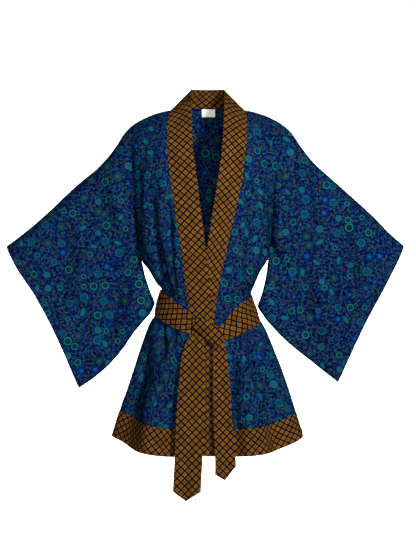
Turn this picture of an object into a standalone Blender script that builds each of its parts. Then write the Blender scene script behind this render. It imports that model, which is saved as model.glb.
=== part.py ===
"""A short kimono robe, worn with no wearer: hollow cloth, wide sleeves, a neck band, a hem band and a sash.

X runs to the viewer's right, Y to the back and Z up, in metres. The origin lies between the shoulders, where
the wearer holds the robe up. The wearer's right is the viewer's left.
"""

import math

import bpy
import numpy as np

# Walls and seams
CLOTH_THICK = 0.0015
BAND_THICK = 0.0028
HEM_THICK = 0.0020
SASH_THICK = 0.0024
LABEL_THICK = 0.0010
SEAM_GAP = 0.0003
SQUARE_SEAM = 0.92
SHARP_SEAM = 0.3
SHARPEST_CORNER = 0.5
SHARP_EDGE = math.radians(50)
REST_GAP = 0.0012
NO_LENGTH = 1e-7
ROUND_OFF = 1e-12
POINT_DIGITS = 7
SEAM_DIGITS = 6

# Depth of the body and of the arms inside it
SHOULDER_ARCH = 0.110
SECTION_ROUND = 2.3
SECTION_SQUARE = 1.5
SWEEP_ROUND = 3
ARMHOLE_DEEP = 0.066
ARMHOLE_ROUND = 0.6
NECK_SPREAD_FROM = 0.03
NECK_SPREAD_OVER = 0.13
NECK_SOFT = 0.04
NECK_FAN = 0.024
NECK_FAN_OVER = 0.022

# Half depths of a sleeve, heights of the arm in it, and the rounds at its edges
ARM_DEEP = 0.052
ARM_TAPER = 0.012
ARM_ROUND = 0.058
ARM_CORE = 0.046
ARM_FADE = 0.253
SLEEVE_FLAT_DEEP = 0.011
SLEEVE_TOP_ROUND = 0.02
SLEEVE_BOTTOM_ROUND = 0.035
SLEEVE_INNER_ROUND = 0.05
ARMHOLE_BLEND = 0.28
ARMPIT_BLEND = 0.12

# The viewer's right front passes under the left one by this step, from one height to another
OVERLAP_STEP = 0.0056
OVERLAP_START = -0.24
OVERLAP_FULL = -0.35

# Rows and columns of the cloth
ARM_ROWS = 10
INNER_ROWS = 5
HEM_ROWS = 3
FRONT_COLUMNS = 15
NECK_COLUMNS = 8
BAND_COLUMNS = 4
SLEEVE_RINGS = 13
SASH_STATIONS = 44
SASH_ROWS = 3
END_COLUMNS = 4
KNOT_SPOKES = 20
KNOT_RINGS = 5
SURFACE_ROWS = 160

# The roll of the neck band, the swell of the sash, and the corners of its ends
BAND_ROLL = 0.002
BAND_CURL = 1.2
SASH_SWELL = 0.0012
TIP_SHOULDER = 0.004

# Label
LABEL_WIDE = 0.034
LABEL_HIGH = 0.020
LABEL_MIDDLE = 0.002
LABEL_BELOW_SEAM = 0.0015
LABEL_COLUMNS = 4
LABEL_ROWS = 3


def columns(names, *rows):
    """A short table, with a row in each tuple, as one array for each named column."""
    return dict(zip(names.split(), np.array(rows, float).T))


# The body from the shoulder to the hem: half widths and heights of its two sides, heights of its middle in
# front and behind, and depths in front and behind.
BODY = columns(
    "left_x left_z right_x right_z front_z back_z front_deep back_deep",
    (0.191, -0.041, 0.190, -0.039, 0.004, 0.004, 0.099, 0.094),  # shoulder line
    (0.189, -0.090, 0.181, -0.090, -0.060, -0.060, 0.104, 0.102),
    (0.186, -0.165, 0.170, -0.165, -0.150, -0.150, 0.112, 0.109),
    (0.181, -0.262, 0.161, -0.262, -0.262, -0.262, 0.118, 0.110),
    (0.171, -0.340, 0.157, -0.335, -0.350, -0.345, 0.116, 0.106),
    (0.166, -0.372, 0.153, -0.367, -0.385, -0.378, 0.113, 0.103),  # armpit
    (0.146, -0.401, 0.131, -0.404, -0.420, -0.401, 0.109, 0.099),
    (0.129, -0.430, 0.118, -0.434, -0.455, -0.426, 0.104, 0.094),
    (0.1145, -0.450, 0.107, -0.464, -0.490, -0.452, 0.098, 0.088),  # top of the sash
    (0.1275, -0.506, 0.122, -0.514, -0.548, -0.512, 0.098, 0.088),  # foot of the sash
    (0.143, -0.530, 0.137, -0.534, -0.575, -0.538, 0.104, 0.094),
    (0.163, -0.582, 0.160, -0.584, -0.625, -0.592, 0.114, 0.105),
    (0.199, -0.692, 0.201, -0.692, -0.730, -0.704, 0.132, 0.124),
    (0.219, -0.748, 0.219, -0.750, -0.782, -0.764, 0.140, 0.133),  # hem band seam
    (0.239, -0.812, 0.237, -0.806, -0.847, -0.829, 0.148, 0.142),  # hem
)
SHOULDER = BODY["left_z"][0]
ARMPIT = BODY["left_z"][5]
HEM_SEAM = BODY["left_z"][13]
HEM = BODY["left_z"][14]
LOWER_LEVELS = (
    -0.387, -0.401, -0.418, -0.436, -0.450, -0.478, -0.506,
    -0.521, -0.545, -0.578, -0.618, -0.661, -0.705,
)

# Seam and free edge of the neck band down each front, by the height of the front's middle. The band on the
# viewer's left lies on top, the other one passes under it below the V.
BAND = columns(
    "z top_seam top_free low_seam low_free",
    (0.004, -0.092, -0.041, 0.092, 0.041),
    (-0.020, -0.098, -0.039, 0.097, 0.040),
    (-0.060, -0.098, -0.037, 0.097, 0.038),
    (-0.110, -0.097, -0.034, 0.092, 0.034),
    (-0.190, -0.089, -0.024, 0.083, 0.023),
    (-0.270, -0.077, -0.014, 0.065, 0.010),
    (-0.357, -0.064, -0.003, 0.046, -0.004),
    (-0.420, -0.057, 0.004, 0.032, -0.020),
    (-0.465, -0.050, 0.009, 0.024, -0.032),
    (-0.505, -0.047, 0.013, 0.018, -0.041),
    (-0.560, -0.045, 0.015, 0.015, -0.044),
    (-0.710, -0.045, 0.014, 0.014, -0.044),
    (-0.847, -0.044, 0.014, 0.014, -0.044),
)

# How far the band's free edge stands off the fronts near the neck, by the height of the front's middle.
BAND_STAND = columns(
    "z back up",
    (0.004, -0.010, 0.0285),
    (-0.020, -0.003, 0.016),
    (-0.060, 0.000, 0.005),
    (-0.120, 0.000, 0.000),
    (-0.847, 0.000, 0.000),
)

# The neck from the side, where the shoulder meets it, to the middle of the back: the seam and free edge of
# the band.
NECK = columns(
    "seam_x seam_y seam_z free_x free_y free_z",
    (0.092, 0.000, 0.000, 0.041, -0.010, 0.032),
    (0.089, 0.030, 0.004, 0.042, 0.018, 0.048),
    (0.075, 0.058, 0.009, 0.041, 0.044, 0.056),
    (0.050, 0.078, 0.012, 0.030, 0.058, 0.058),
    (0.025, 0.086, 0.013, 0.015, 0.062, 0.058),
    (0.000, 0.088, 0.013, 0.000, 0.063, 0.058),
)

# Outlines of the sleeves as seen from the front: the folded top from the shoulder to the cuff, the cuff, the
# lower seam from the inner corner to the cuff, and the closed edge from the armpit to the inner corner.
SLEEVE_TOP = columns(
    "along left_x left_z right_x right_z",
    (0.00, -0.191, -0.041, 0.190, -0.039),
    (0.05, -0.210, -0.062, 0.209, -0.057),
    (0.12, -0.230, -0.094, 0.232, -0.091),
    (0.26, -0.269, -0.140, 0.264, -0.131),
    (0.42, -0.328, -0.190, 0.318, -0.180),
    (0.70, -0.410, -0.267, 0.413, -0.266),
    (0.86, -0.456, -0.306, 0.451, -0.305),
    (1.00, -0.502, -0.341, 0.490, -0.340),
)
SLEEVE_FOOT = columns(
    "along left_x left_z right_x right_z",
    (0.00, -0.131, -0.482, 0.1245, -0.491),
    (0.09, -0.140, -0.503, 0.141, -0.516),
    (0.20, -0.157, -0.524, 0.169, -0.549),
    (0.36, -0.184, -0.556, 0.198, -0.578),
    (0.52, -0.212, -0.597, 0.226, -0.602),
    (0.72, -0.250, -0.640, 0.262, -0.630),
    (0.86, -0.284, -0.669, 0.297, -0.658),
    (1.00, -0.322, -0.695, 0.326, -0.680),
)
SLEEVE_CUFF = columns(
    "along left_x left_z right_x right_z",
    (0.00, -0.502, -0.341, 0.490, -0.340),
    (0.15, -0.470, -0.400, 0.465, -0.391),
    (0.33, -0.431, -0.460, 0.433, -0.455),
    (0.52, -0.392, -0.535, 0.398, -0.523),
    (0.76, -0.356, -0.614, 0.361, -0.603),
    (1.00, -0.322, -0.695, 0.326, -0.680),
)
SLEEVE_INNER = columns(
    "along left_x left_z right_x right_z",
    (0.00, -0.166, -0.372, 0.153, -0.367),
    (0.40, -0.156, -0.415, 0.146, -0.416),
    (0.75, -0.143, -0.453, 0.136, -0.458),
    (1.00, -0.131, -0.482, 0.1245, -0.491),
)

# The sash round the waist: degrees from the viewer's left side through the front, and its two edges.
SASH = columns(
    "degrees top_z foot_z",
    (0, -0.449, -0.511),
    (38, -0.467, -0.531),
    (60, -0.489, -0.546),
    (72, -0.507, -0.553),
    (82, -0.521, -0.560),
    (92, -0.531, -0.568),
    (101, -0.535, -0.574),
    (111, -0.519, -0.567),
    (122, -0.498, -0.558),
    (136, -0.481, -0.547),
    (158, -0.470, -0.535),
    (180, -0.463, -0.519),
    (225, -0.457, -0.518),
    (270, -0.454, -0.516),
    (315, -0.452, -0.513),
    (360, -0.449, -0.511),
)

# The hanging ends of the sash: height, left and right edge, and how far they stand off the robe.
LONG_END = columns(
    "z left_x right_x off",
    (-0.540, -0.020, 0.000, 0.0080),
    (-0.557, -0.036, -0.006, 0.0080),
    (-0.572, -0.050, -0.009, 0.0080),
    (-0.592, -0.058, -0.009, 0.0065),
    (-0.625, -0.065, -0.006, 0.0060),
    (-0.662, -0.068, -0.004, 0.0060),
    (-0.713, -0.073, -0.004, 0.0060),
    (-0.789, -0.077, -0.010, 0.0060),
    (-0.847, -0.079, -0.012, 0.0060),
    (-0.923, -0.083, -0.016, 0.0060),
)
LONG_TIP = (-0.052, -0.950)
SHORT_END = columns(
    "z left_x right_x off",
    (-0.553, 0.010, 0.030, 0.0080),
    (-0.570, 0.012, 0.038, 0.0080),
    (-0.592, 0.013, 0.044, 0.0070),
    (-0.619, 0.013, 0.049, 0.0060),
    (-0.656, 0.013, 0.052, 0.0060),
    (-0.698, 0.013, 0.056, 0.0060),
    (-0.758, 0.014, 0.059, 0.0060),
    (-0.803, 0.016, 0.064, 0.0060),
    (-0.862, 0.018, 0.068, 0.0060),
)
SHORT_TIP = (0.040, -0.900)

# The knot: a soft lump that lies aslant over the sash.
KNOT_MIDDLE = (0.003, -0.544)
KNOT_LONG = 0.040
KNOT_SHORT = 0.022
KNOT_SLANT = math.radians(-47)
KNOT_HIGH = 0.015
KNOT_EDGE = 0.004
KNOT_BACK_SHARE = 0.93
KNOT_OFF = 0.0101
KNOT_SQUARE = 3
KNOT_FLAT = 4
KNOT_CREASES = 3
KNOT_CREASE_DEEP = 0.0022

# Folds: the two ends of each, its half width, and how far it stands out. A trough has a minus sign.
FRONT_FOLDS = columns(
    "x0 z0 x1 z1 wide out",
    (-0.172, -0.100, -0.168, -0.310, 0.014, -0.0060),
    (-0.152, -0.090, -0.149, -0.330, 0.014, 0.0050),
    (-0.140, -0.200, -0.133, -0.370, 0.012, -0.0050),
    (-0.127, -0.330, -0.099, -0.455, 0.012, -0.0080),
    (-0.112, -0.270, -0.090, -0.440, 0.011, 0.0060),
    (-0.101, -0.235, -0.086, -0.390, 0.010, -0.0045),
    (-0.110, -0.060, -0.118, -0.220, 0.016, 0.0035),
    (-0.062, -0.560, -0.084, -0.845, 0.015, -0.0100),
    (-0.083, -0.545, -0.106, -0.700, 0.012, 0.0060),
    (-0.101, -0.545, -0.118, -0.640, 0.009, -0.0050),
    (-0.112, -0.540, -0.135, -0.845, 0.024, 0.0090),
    (-0.128, -0.540, -0.170, -0.845, 0.018, -0.0080),
    (-0.141, -0.545, -0.200, -0.845, 0.018, 0.0050),
    (0.152, -0.110, 0.146, -0.310, 0.014, -0.0055),
    (0.136, -0.100, 0.130, -0.340, 0.015, 0.0045),
    (0.112, -0.250, 0.091, -0.450, 0.014, -0.0050),
    (0.090, -0.300, 0.070, -0.470, 0.012, 0.0045),
    (0.074, -0.565, 0.088, -0.740, 0.012, 0.0050),
    (0.088, -0.555, 0.128, -0.700, 0.011, -0.0075),
    (0.103, -0.545, 0.165, -0.845, 0.018, 0.0075),
    (0.063, -0.640, 0.080, -0.847, 0.014, -0.0120),
    (0.092, -0.690, 0.112, -0.847, 0.019, 0.0085),
    (0.122, -0.545, 0.205, -0.845, 0.018, -0.0060),
)
BACK_FOLDS = columns(
    "x0 z0 x1 z1 wide out",
    (-0.165, -0.090, -0.150, -0.340, 0.016, -0.0060),
    (-0.135, -0.080, -0.120, -0.420, 0.016, 0.0050),
    (-0.095, -0.180, -0.075, -0.445, 0.014, -0.0055),
    (-0.050, -0.100, -0.040, -0.440, 0.016, 0.0045),
    (0.005, -0.160, -0.005, -0.445, 0.016, -0.0050),
    (0.055, -0.120, 0.045, -0.440, 0.016, 0.0050),
    (0.098, -0.200, 0.078, -0.445, 0.014, -0.0055),
    (0.130, -0.090, 0.112, -0.420, 0.016, 0.0045),
    (0.152, -0.100, 0.140, -0.340, 0.014, -0.0060),
    (-0.105, -0.530, -0.170, -0.829, 0.020, -0.0080),
    (-0.088, -0.530, -0.130, -0.829, 0.022, 0.0085),
    (-0.060, -0.530, -0.082, -0.829, 0.018, -0.0085),
    (-0.030, -0.530, -0.038, -0.829, 0.020, 0.0085),
    (0.002, -0.530, 0.008, -0.829, 0.018, -0.0090),
    (0.032, -0.530, 0.050, -0.829, 0.020, 0.0085),
    (0.062, -0.530, 0.094, -0.829, 0.018, -0.0080),
    (0.088, -0.530, 0.136, -0.829, 0.022, 0.0085),
    (0.108, -0.530, 0.175, -0.829, 0.018, -0.0070),
)
SLEEVE_FOLDS = columns(
    "x0 z0 x1 z1 wide out",
    (-0.262, -0.160, -0.283, -0.430, 0.018, -0.0060),
    (-0.232, -0.130, -0.215, -0.330, 0.018, 0.0060),
    (-0.205, -0.110, -0.196, -0.380, 0.014, -0.0055),
    (-0.300, -0.220, -0.330, -0.520, 0.022, 0.0060),
    (-0.350, -0.260, -0.372, -0.500, 0.018, -0.0040),
    (-0.200, -0.380, -0.240, -0.560, 0.016, -0.0050),
    (-0.172, -0.400, -0.200, -0.540, 0.014, 0.0045),
    (-0.400, -0.320, -0.420, -0.440, 0.018, 0.0040),
    (0.232, -0.120, 0.262, -0.220, 0.016, -0.0060),
    (0.215, -0.130, 0.200, -0.330, 0.016, 0.0055),
    (0.196, -0.140, 0.183, -0.350, 0.012, -0.0050),
    (0.232, -0.390, 0.285, -0.640, 0.015, -0.0060),
    (0.262, -0.330, 0.318, -0.620, 0.018, 0.0055),
    (0.190, -0.390, 0.232, -0.560, 0.014, 0.0045),
    (0.330, -0.260, 0.360, -0.470, 0.018, -0.0045),
    (0.390, -0.320, 0.405, -0.450, 0.018, 0.0040),
)
FOLD_ENDS = 0.30
HEM_RUN_ON = 0.48
SIDE_FOLD_EDGE = 0.011
TOP_FOLD_EDGE = 0.036
SLEEVE_FOLD_EDGE = 0.030
SLEEVE_SEAM_FOLD_EDGE = 0.043
SLEEVE_BACK_SHIFT = 0.9
SASH_PRESS = 0.004
SASH_FREE_ABOVE = 0.035
SASH_FREE_BELOW = 0.045

# Colours of the cloths, as red, green and blue light, and their roughness
NAVY_FLORAL = (0.006, 0.024, 0.068)
GOLD_LATTICE = (0.095, 0.048, 0.013)
WHITE_SATIN = (0.80, 0.78, 0.74)
VISCOSE_ROUGH = 0.62
SATIN_ROUGH = 0.45


def smooth(at, places, values):
    """Reads a smooth curve through rising places that never overshoots the values."""
    step = np.diff(places)
    slope = np.diff(values) / step
    tangent = np.zeros(len(values))
    tangent[0] = slope[0]
    tangent[-1] = slope[-1]
    same_way = slope[:-1] * slope[1:] > 0
    both = np.where(same_way, slope[:-1] + slope[1:], 1)
    tangent[1:-1] = np.where(same_way, 2 * slope[:-1] * slope[1:] / both, 0)
    at = np.clip(at, places[0], places[-1])
    i = np.clip(np.searchsorted(places, at) - 1, 0, len(step) - 1)
    t = (at - places[i]) / step[i]
    rise = values[i] * (1 + 2 * t) * (1 - t) ** 2 + values[i + 1] * t * t * (3 - 2 * t)
    bend = tangent[i] * t * (1 - t) ** 2 - tangent[i + 1] * t * t * (1 - t)
    return rise + step[i] * bend


def read(table, key, name, at):
    """Reads one column of a table at any place along its key column."""
    places = table[key]
    values = table[name]
    if places[0] > places[-1]:
        places = places[::-1]
        values = values[::-1]
    return smooth(at, places, values)


def ease(t):
    """Runs from 0 to 1 with soft ends."""
    t = np.clip(t, 0, 1)
    return t * t * (3 - 2 * t)


def quarter_round(t):
    """Rises steeply from 0 and levels out at 1, as a quarter circle does."""
    return np.sqrt(1 - (1 - np.clip(t, 0, 1)) ** 2)


def body(side, name, level):
    """A side's or the middle's measure at one level."""
    prefix = "left_" if side < 0 else "right_"
    column = name if name in BODY else prefix + name
    return read(BODY, "left_z", column, level)


def armhole_deep(level):
    """Half the depth of the armhole, from nothing at the shoulder to nothing at the armpit."""
    down = np.clip((SHOULDER - level) / (SHOULDER - ARMPIT), 0, 1)
    return ARMHOLE_DEEP * np.maximum(np.sin(math.pi * down ** (0.5 / ARMHOLE_ROUND)), 0) ** ARMHOLE_ROUND


def section(side_x, deep, edge_deep, x):
    """Depth across a rounded section that passes its side with the depth of the armhole there."""
    power = SECTION_ROUND
    half = side_x / (1 - (edge_deep / deep) ** power) ** (1 / power)
    return deep * np.maximum(1 - (np.abs(x) / half) ** power, 0) ** (1 / power)


def height(side_z, middle_z, side_x, x):
    """Height across a row that sweeps from its side to its middle."""
    return side_z + (middle_z - side_z) * (1 - np.minimum(np.abs(x) / side_x, 1) ** SWEEP_ROUND)


def layer_points(side, level, x, layer):
    """Points of the body's front or back layer at one level or at as many levels as places."""
    level_in = np.minimum(level, SHOULDER - NO_LENGTH)
    side_x = body(side, "x", level)
    deep = body(side, layer + "_deep", level) * quarter_round((SHOULDER - level_in) / SHOULDER_ARCH)
    y = section(side_x, deep, armhole_deep(level_in), x)
    z = height(body(side, "z", level), body(side, layer + "_z", level), side_x, x)
    return np.stack([x, -y if layer == "front" else y, z], -1)


def across(start, end, share, level):
    """Places from a side to a seam, even at the shoulder and closer to the side further down."""
    down = ease((SHOULDER - level) / (SHOULDER - ARMPIT))
    spread = (1 - down) * share + down * (1 - np.cos(share * math.pi / 2))
    return start + (end - start) * spread


def levels():
    """Heights of all rows at the viewer's left side: to the armpit, to the hem band, and down it."""
    arm = SHOULDER + (ARMPIT - SHOULDER) * (1 - np.cos(np.linspace(0, math.pi, ARM_ROWS + 1))) / 2
    hem = np.linspace(HEM_SEAM, HEM, HEM_ROWS + 1)
    return np.concatenate([arm, LOWER_LEVELS, hem])


LEVELS = levels()
HEM_SEAM_ROW = len(LEVELS) - 1 - HEM_ROWS


def grid_normals(grid):
    """Unit normals of a grid of points, on one side of it."""
    down = np.gradient(grid, axis=0)
    along = np.gradient(grid, axis=1)
    normal = np.cross(down, along)
    return normal / np.maximum(np.linalg.norm(normal, axis=-1, keepdims=True), ROUND_OFF)


def fold_heights(folds, x, z):
    """How far the folds stand out at each place, seen from the front."""
    total = np.zeros_like(x)
    for x0, z0, x1, z1, wide, out in zip(*folds.values()):
        run = np.array([x1 - x0, z1 - z0])
        length = np.linalg.norm(run)
        t = ((x - x0) * run[0] + (z - z0) * run[1]) / length ** 2
        aside = ((x - x0) * run[1] - (z - z0) * run[0]) / length
        fade = ease(t / FOLD_ENDS) * ease((1 - t) / FOLD_ENDS)
        total += out * fade * np.exp(-(aside / wide) ** 2)
    return total


def open_ended_folds(folds, x, z, hem_z):
    """As fold_heights, but a fold that reaches the hem keeps its full height there."""
    run_on = {name: values.copy() for name, values in folds.items()}
    reach = folds["z1"] <= hem_z
    for end in ("x", "z"):
        run_on[end + "1"][reach] += HEM_RUN_ON * (folds[end + "1"] - folds[end + "0"])[reach]
    return fold_heights(run_on, x, z)


def folded(grid, folds, outward, hold):
    """Moves a grid's points along its normals by the folds, but not where the hold is 0."""
    normal = grid_normals(grid)
    facing = np.sign((normal * outward).sum(-1).sum())
    out = open_ended_folds(folds, grid[..., 0], grid[..., 2], BODY["back_z"][-1])
    return grid + normal * (facing * out * hold)[..., None]


def waist_hold(z, top, foot):
    """0 under the sash, 1 a little above and below it."""
    above = ease((z - top + SASH_PRESS) / SASH_FREE_ABOVE)
    below = ease((foot - z + SASH_PRESS) / SASH_FREE_BELOW)
    return np.maximum(above, below)


def sash_edges(degrees):
    """Heights of the sash's two edges."""
    return read(SASH, "degrees", "top_z", degrees), read(SASH, "degrees", "foot_z", degrees)


def degrees_round(point, side_x):
    """Degrees from the viewer's left side through the front, for points on the body."""
    share = np.clip(np.abs(point[..., 0]) / side_x, 0, 1) ** (SECTION_ROUND / 2)
    quarter = np.degrees(np.arccos(share))
    front = np.where(point[..., 0] < 0, quarter, 180 - quarter)
    return np.where(point[..., 1] <= 0, front, 360 - front)


def body_hold(grid, side_x):
    """Where the body's folds are free: away from the shoulder, the sides, the armholes and the sash."""
    top, foot = sash_edges(degrees_round(grid, side_x))
    below_shoulder = ease((LEVELS[1] - LEVELS) / TOP_FOLD_EDGE)[:, None]
    from_side = ease((side_x - np.abs(grid[..., 0])) / SIDE_FOLD_EDGE)
    return below_shoulder * from_side * waist_hold(grid[..., 2], top, foot)


def front_grid(side):
    """A front with its half of the neck band, from the side to the band's free edge, in rows to the hem."""
    names = ("top_seam", "top_free") if side < 0 else ("low_seam", "low_free")
    share = np.linspace(0, 1, FRONT_COLUMNS + 1)
    band_share = np.linspace(0, 1, BAND_COLUMNS + 1)[1:]
    rows = []
    for level in LEVELS:
        middle = body(side, "front_z", level)
        side_x = body(side, "x", level)
        seam_x = read(BAND, "z", names[0], middle)
        free_x = read(BAND, "z", names[1], middle)
        x = np.concatenate([
            across(side * side_x, seam_x, share, level),
            seam_x + (free_x - seam_x) * band_share,
        ])
        row = layer_points(side, level, x, "front")
        stand = np.concatenate([np.zeros_like(share), band_share ** BAND_CURL])
        row[:, 1] += stand * read(BAND_STAND, "z", "back", middle)
        row[:, 2] += stand * read(BAND_STAND, "z", "up", middle)
        if side > 0:
            under = ease((OVERLAP_START - middle) / (OVERLAP_START - OVERLAP_FULL))
            inward = np.concatenate([ease(share), np.ones(BAND_COLUMNS)])
            row[:, 1] += OVERLAP_STEP * under * inward
        rows.append(row)
    grid = np.array(rows)
    grid[0, :FRONT_COLUMNS + 1, 1] = 0
    side_x = body(side, "x", LEVELS)[:, None]
    return folded(grid, FRONT_FOLDS, np.array([0, -1, 0]), body_hold(grid, side_x))


def neck_station(name, count):
    """Points of the neck's seam or free edge, from the viewer's left side to the middle of the back."""
    place = np.linspace(0, 1, len(NECK["seam_x"]))
    at = np.linspace(0, 1, count + 1)
    points = np.stack([smooth(at, place, NECK[f"{name}_{axis}"]) for axis in "xyz"], -1)
    points[:, 0] *= -1
    return points


def mirrored(points):
    """The same points on the other side of the middle."""
    return points * np.array([-1, 1, 1])


def back_grid(left_front, right_front):
    """The back from the viewer's left side to the right side, in the same rows as the fronts."""
    share = np.linspace(0, 1, FRONT_COLUMNS + 1)
    neck = neck_station("seam", NECK_COLUMNS)
    neck_share = neck[:, 0] / neck[0, 0]
    even_share = np.linspace(1, 0, NECK_COLUMNS + 1)
    halves = []
    for side, front in ((-1, left_front), (1, right_front)):
        rows = []
        neck_side = neck if side < 0 else mirrored(neck)
        top = np.concatenate([front[0, :FRONT_COLUMNS + 1], neck_side[1:]])
        for level in LEVELS:
            side_x = body(side, "x", level)
            down = ease((SHOULDER - level) / (SHOULDER - ARMPIT))
            fan = NECK_FAN * ease((SHOULDER - level) / NECK_FAN_OVER) * (1 - down)
            neck_x = side * (side_x * abs(neck[0, 0]) / BODY["left_x"][0] + fan)
            inner_share = (1 - down) * neck_share + down * even_share
            x = np.concatenate([across(side * side_x, neck_x, share, level), neck_x * inner_share[1:]])
            row = layer_points(side, level, x, "back")
            near = 1 - quarter_round((SHOULDER - level) / SHOULDER_ARCH)
            soft = ease((SHOULDER - level) / NECK_SOFT)
            spread = neck[-1, 1] * (1 - ease((np.abs(x) - NECK_SPREAD_FROM) / NECK_SPREAD_OVER))
            flat_top = layer_points(side, SHOULDER, x, "back")[:, 2]
            row[:, 1] += near * ((1 - soft) * top[:, 1] + soft * spread)
            row[:, 2] += near * (top[:, 2] - flat_top)
            rows.append(top if level == SHOULDER else row)
        halves.append(np.array(rows))
    grid = np.concatenate([halves[0], halves[1][:, -2::-1]], 1)
    side_x = np.where(grid[..., 0] < 0, body(-1, "x", LEVELS)[:, None], body(1, "x", LEVELS)[:, None])
    return folded(grid, BACK_FOLDS, np.array([0, 1, 0]), body_hold(grid, side_x))


def sleeve_grids(side, front, back):
    """The front and back layers of a sleeve, in rings from the armhole to the cuff."""
    prefix = "left_" if side < 0 else "right_"

    def outline(table, at):
        return np.stack([read(table, "along", prefix + axis, at) for axis in "xz"], -1)

    armhole_front = front[:ARM_ROWS + 1, 0]
    armhole_back = back[:ARM_ROWS + 1, 0 if side < 0 else -1]
    inner = outline(SLEEVE_INNER, np.linspace(0, 1, INNER_ROWS + 1)[1:])
    edge = np.concatenate([armhole_front[:, [0, 2]], inner])
    lengths = np.concatenate([[0], np.cumsum(np.linalg.norm(np.diff(edge, axis=0), axis=1))])
    down = lengths / lengths[-1]
    along = np.linspace(0, 1, SLEEVE_RINGS + 1)[:, None]
    top = outline(SLEEVE_TOP, along[:, 0])[:, None]
    foot = outline(SLEEVE_FOOT, along[:, 0])[:, None]
    cuff = outline(SLEEVE_CUFF, down)[None]
    s = along[..., None]
    w = down[None, :, None]
    flat = (1 - w) * top + w * foot + (1 - s) * edge[None] + s * cuff
    flat -= (1 - s) * (1 - w) * top[0] + s * (1 - w) * top[-1] + (1 - s) * w * foot[0] + s * w * foot[-1]
    from_top = np.linalg.norm(flat - top, axis=-1)
    from_foot = np.linalg.norm(flat - foot, axis=-1)
    arm = quarter_round(from_top / ARM_ROUND) * (1 - ease((from_top - ARM_CORE) / ARM_FADE))
    deep = SLEEVE_FLAT_DEEP + (ARM_DEEP - ARM_TAPER * along - SLEEVE_FLAT_DEEP) * arm
    deep = deep * quarter_round(from_top / SLEEVE_TOP_ROUND) * quarter_round(from_foot / SLEEVE_BOTTOM_ROUND)
    open_part = 1 - ease((down - down[ARM_ROWS] + ARMPIT_BLEND) / ARMPIT_BLEND)[None]
    closed_blend = quarter_round(along / SLEEVE_INNER_ROUND) * (1 - open_part)
    blend = ease(along / ARMHOLE_BLEND) * open_part + closed_blend
    from_edge = np.linalg.norm(flat - edge[None], axis=-1)
    free = ease(np.minimum(from_top, from_foot) / SLEEVE_FOLD_EDGE) * ease(from_edge / SLEEVE_SEAM_FOLD_EDGE)
    layers = []
    for armhole, turn in ((armhole_front, -1), (armhole_back, 1)):
        start = np.concatenate([np.abs(armhole[:, 1]), np.zeros(INNER_ROWS)])
        y = turn * (start[None] * (1 - blend) + deep * blend)
        grid = np.stack([flat[..., 0], y, flat[..., 1]], -1)
        grid[0, :ARM_ROWS + 1] = armhole
        shift = 1 if turn < 0 else SLEEVE_BACK_SHIFT
        normal = grid_normals(grid)
        facing = np.sign(normal[..., 1].sum()) * turn
        out = fold_heights(SLEEVE_FOLDS, grid[..., 0] * shift, grid[..., 2]) * free
        layers.append(grid + normal * (facing * out)[..., None])
    for edge_of in (np.s_[:, 0], np.s_[:, -1], np.s_[0, ARM_ROWS:]):
        layers[1][edge_of] = layers[0][edge_of]
    return layers


def quads(rows, count):
    """Faces of a grid of points, as four point numbers each."""
    first = (np.arange(rows - 1)[:, None] * count + np.arange(count - 1)).ravel()
    return np.stack([first, first + 1, first + count + 1, first + count], -1)


class Sheet:
    """A piece of cloth as the middle surface of its wall, with its faces turned outwards.

    The walls are made here, and not by a modifier, because pieces that meet at a seam need the same normals
    there.
    """

    def __init__(self, name, thick, grid, outward):
        points = grid.reshape(-1, 3)
        rounded = np.round(points, POINT_DIGITS)
        _, first, same = np.unique(rounded, axis=0, return_index=True, return_inverse=True)
        self.name = name
        self.thick = thick
        self.points = points[first]
        self.faces = same.reshape(-1)[quads(*grid.shape[:2])].tolist()
        self.normals = self.own_normals()
        if outward(self.points, self.normals) < 0:
            self.faces = [face[::-1] for face in self.faces]
            self.normals = -self.normals

    def own_normals(self):
        """Unit normals at the points, from the faces round them."""
        normals = np.zeros_like(self.points)
        for face in self.faces:
            corner = self.points[face]
            normals[face] += np.cross(corner[2] - corner[0], corner[3] - corner[1])
        return normals / np.linalg.norm(normals, axis=1, keepdims=True)

    def border(self):
        """Each border edge once, as the point numbers it runs from and to, with the cloth on its left."""
        run = {}
        for face in self.faces:
            for a, b in zip(face, face[1:] + face[:1]):
                run[a, b] = True
        return [(a, b) for a, b in run if (b, a) not in run]


def sew(sheets):
    """Gives points that sheets share one normal, so that the walls meet squarely at a seam."""
    shared = {}
    for sheet in sheets:
        for point, normal in zip(np.round(sheet.points, SEAM_DIGITS), sheet.normals):
            shared.setdefault(tuple(point), []).append(normal)
    for sheet in sheets:
        sheet.hang_back = np.zeros(len(sheet.points))
        for i, point in enumerate(np.round(sheet.points, SEAM_DIGITS)):
            met = shared[tuple(point)]
            if len(met) < 2:
                continue
            mean = np.sum(met, 0)
            mean /= max(np.linalg.norm(mean), ROUND_OFF)
            agree = min(float(mean @ normal) for normal in met)
            # Where the cloth turns back on itself, as at the armpit, the walls stop a little further apart.
            sheet.hang_back[i] = 2 * sheet.thick * ease((SQUARE_SEAM - agree) / SQUARE_SEAM)
            if agree > SHARP_SEAM:
                sheet.normals[i] = mean


def trimmed(sheet):
    """The sheet's points with the border drawn in by half the seam's gap."""
    inward = {}
    for a, b in sheet.border():
        run = sheet.points[b] - sheet.points[a]
        run /= np.linalg.norm(run)
        for i in (a, b):
            aside = np.cross(sheet.normals[i], run)
            inward.setdefault(i, []).append(aside / np.linalg.norm(aside))
    points = sheet.points.copy()
    for i, asides in inward.items():
        total = np.sum(asides, 0)
        square = max(total @ asides[0], SHARPEST_CORNER)
        points[i] += (SEAM_GAP / 2 + sheet.hang_back[i]) * total / square
    return points


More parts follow.
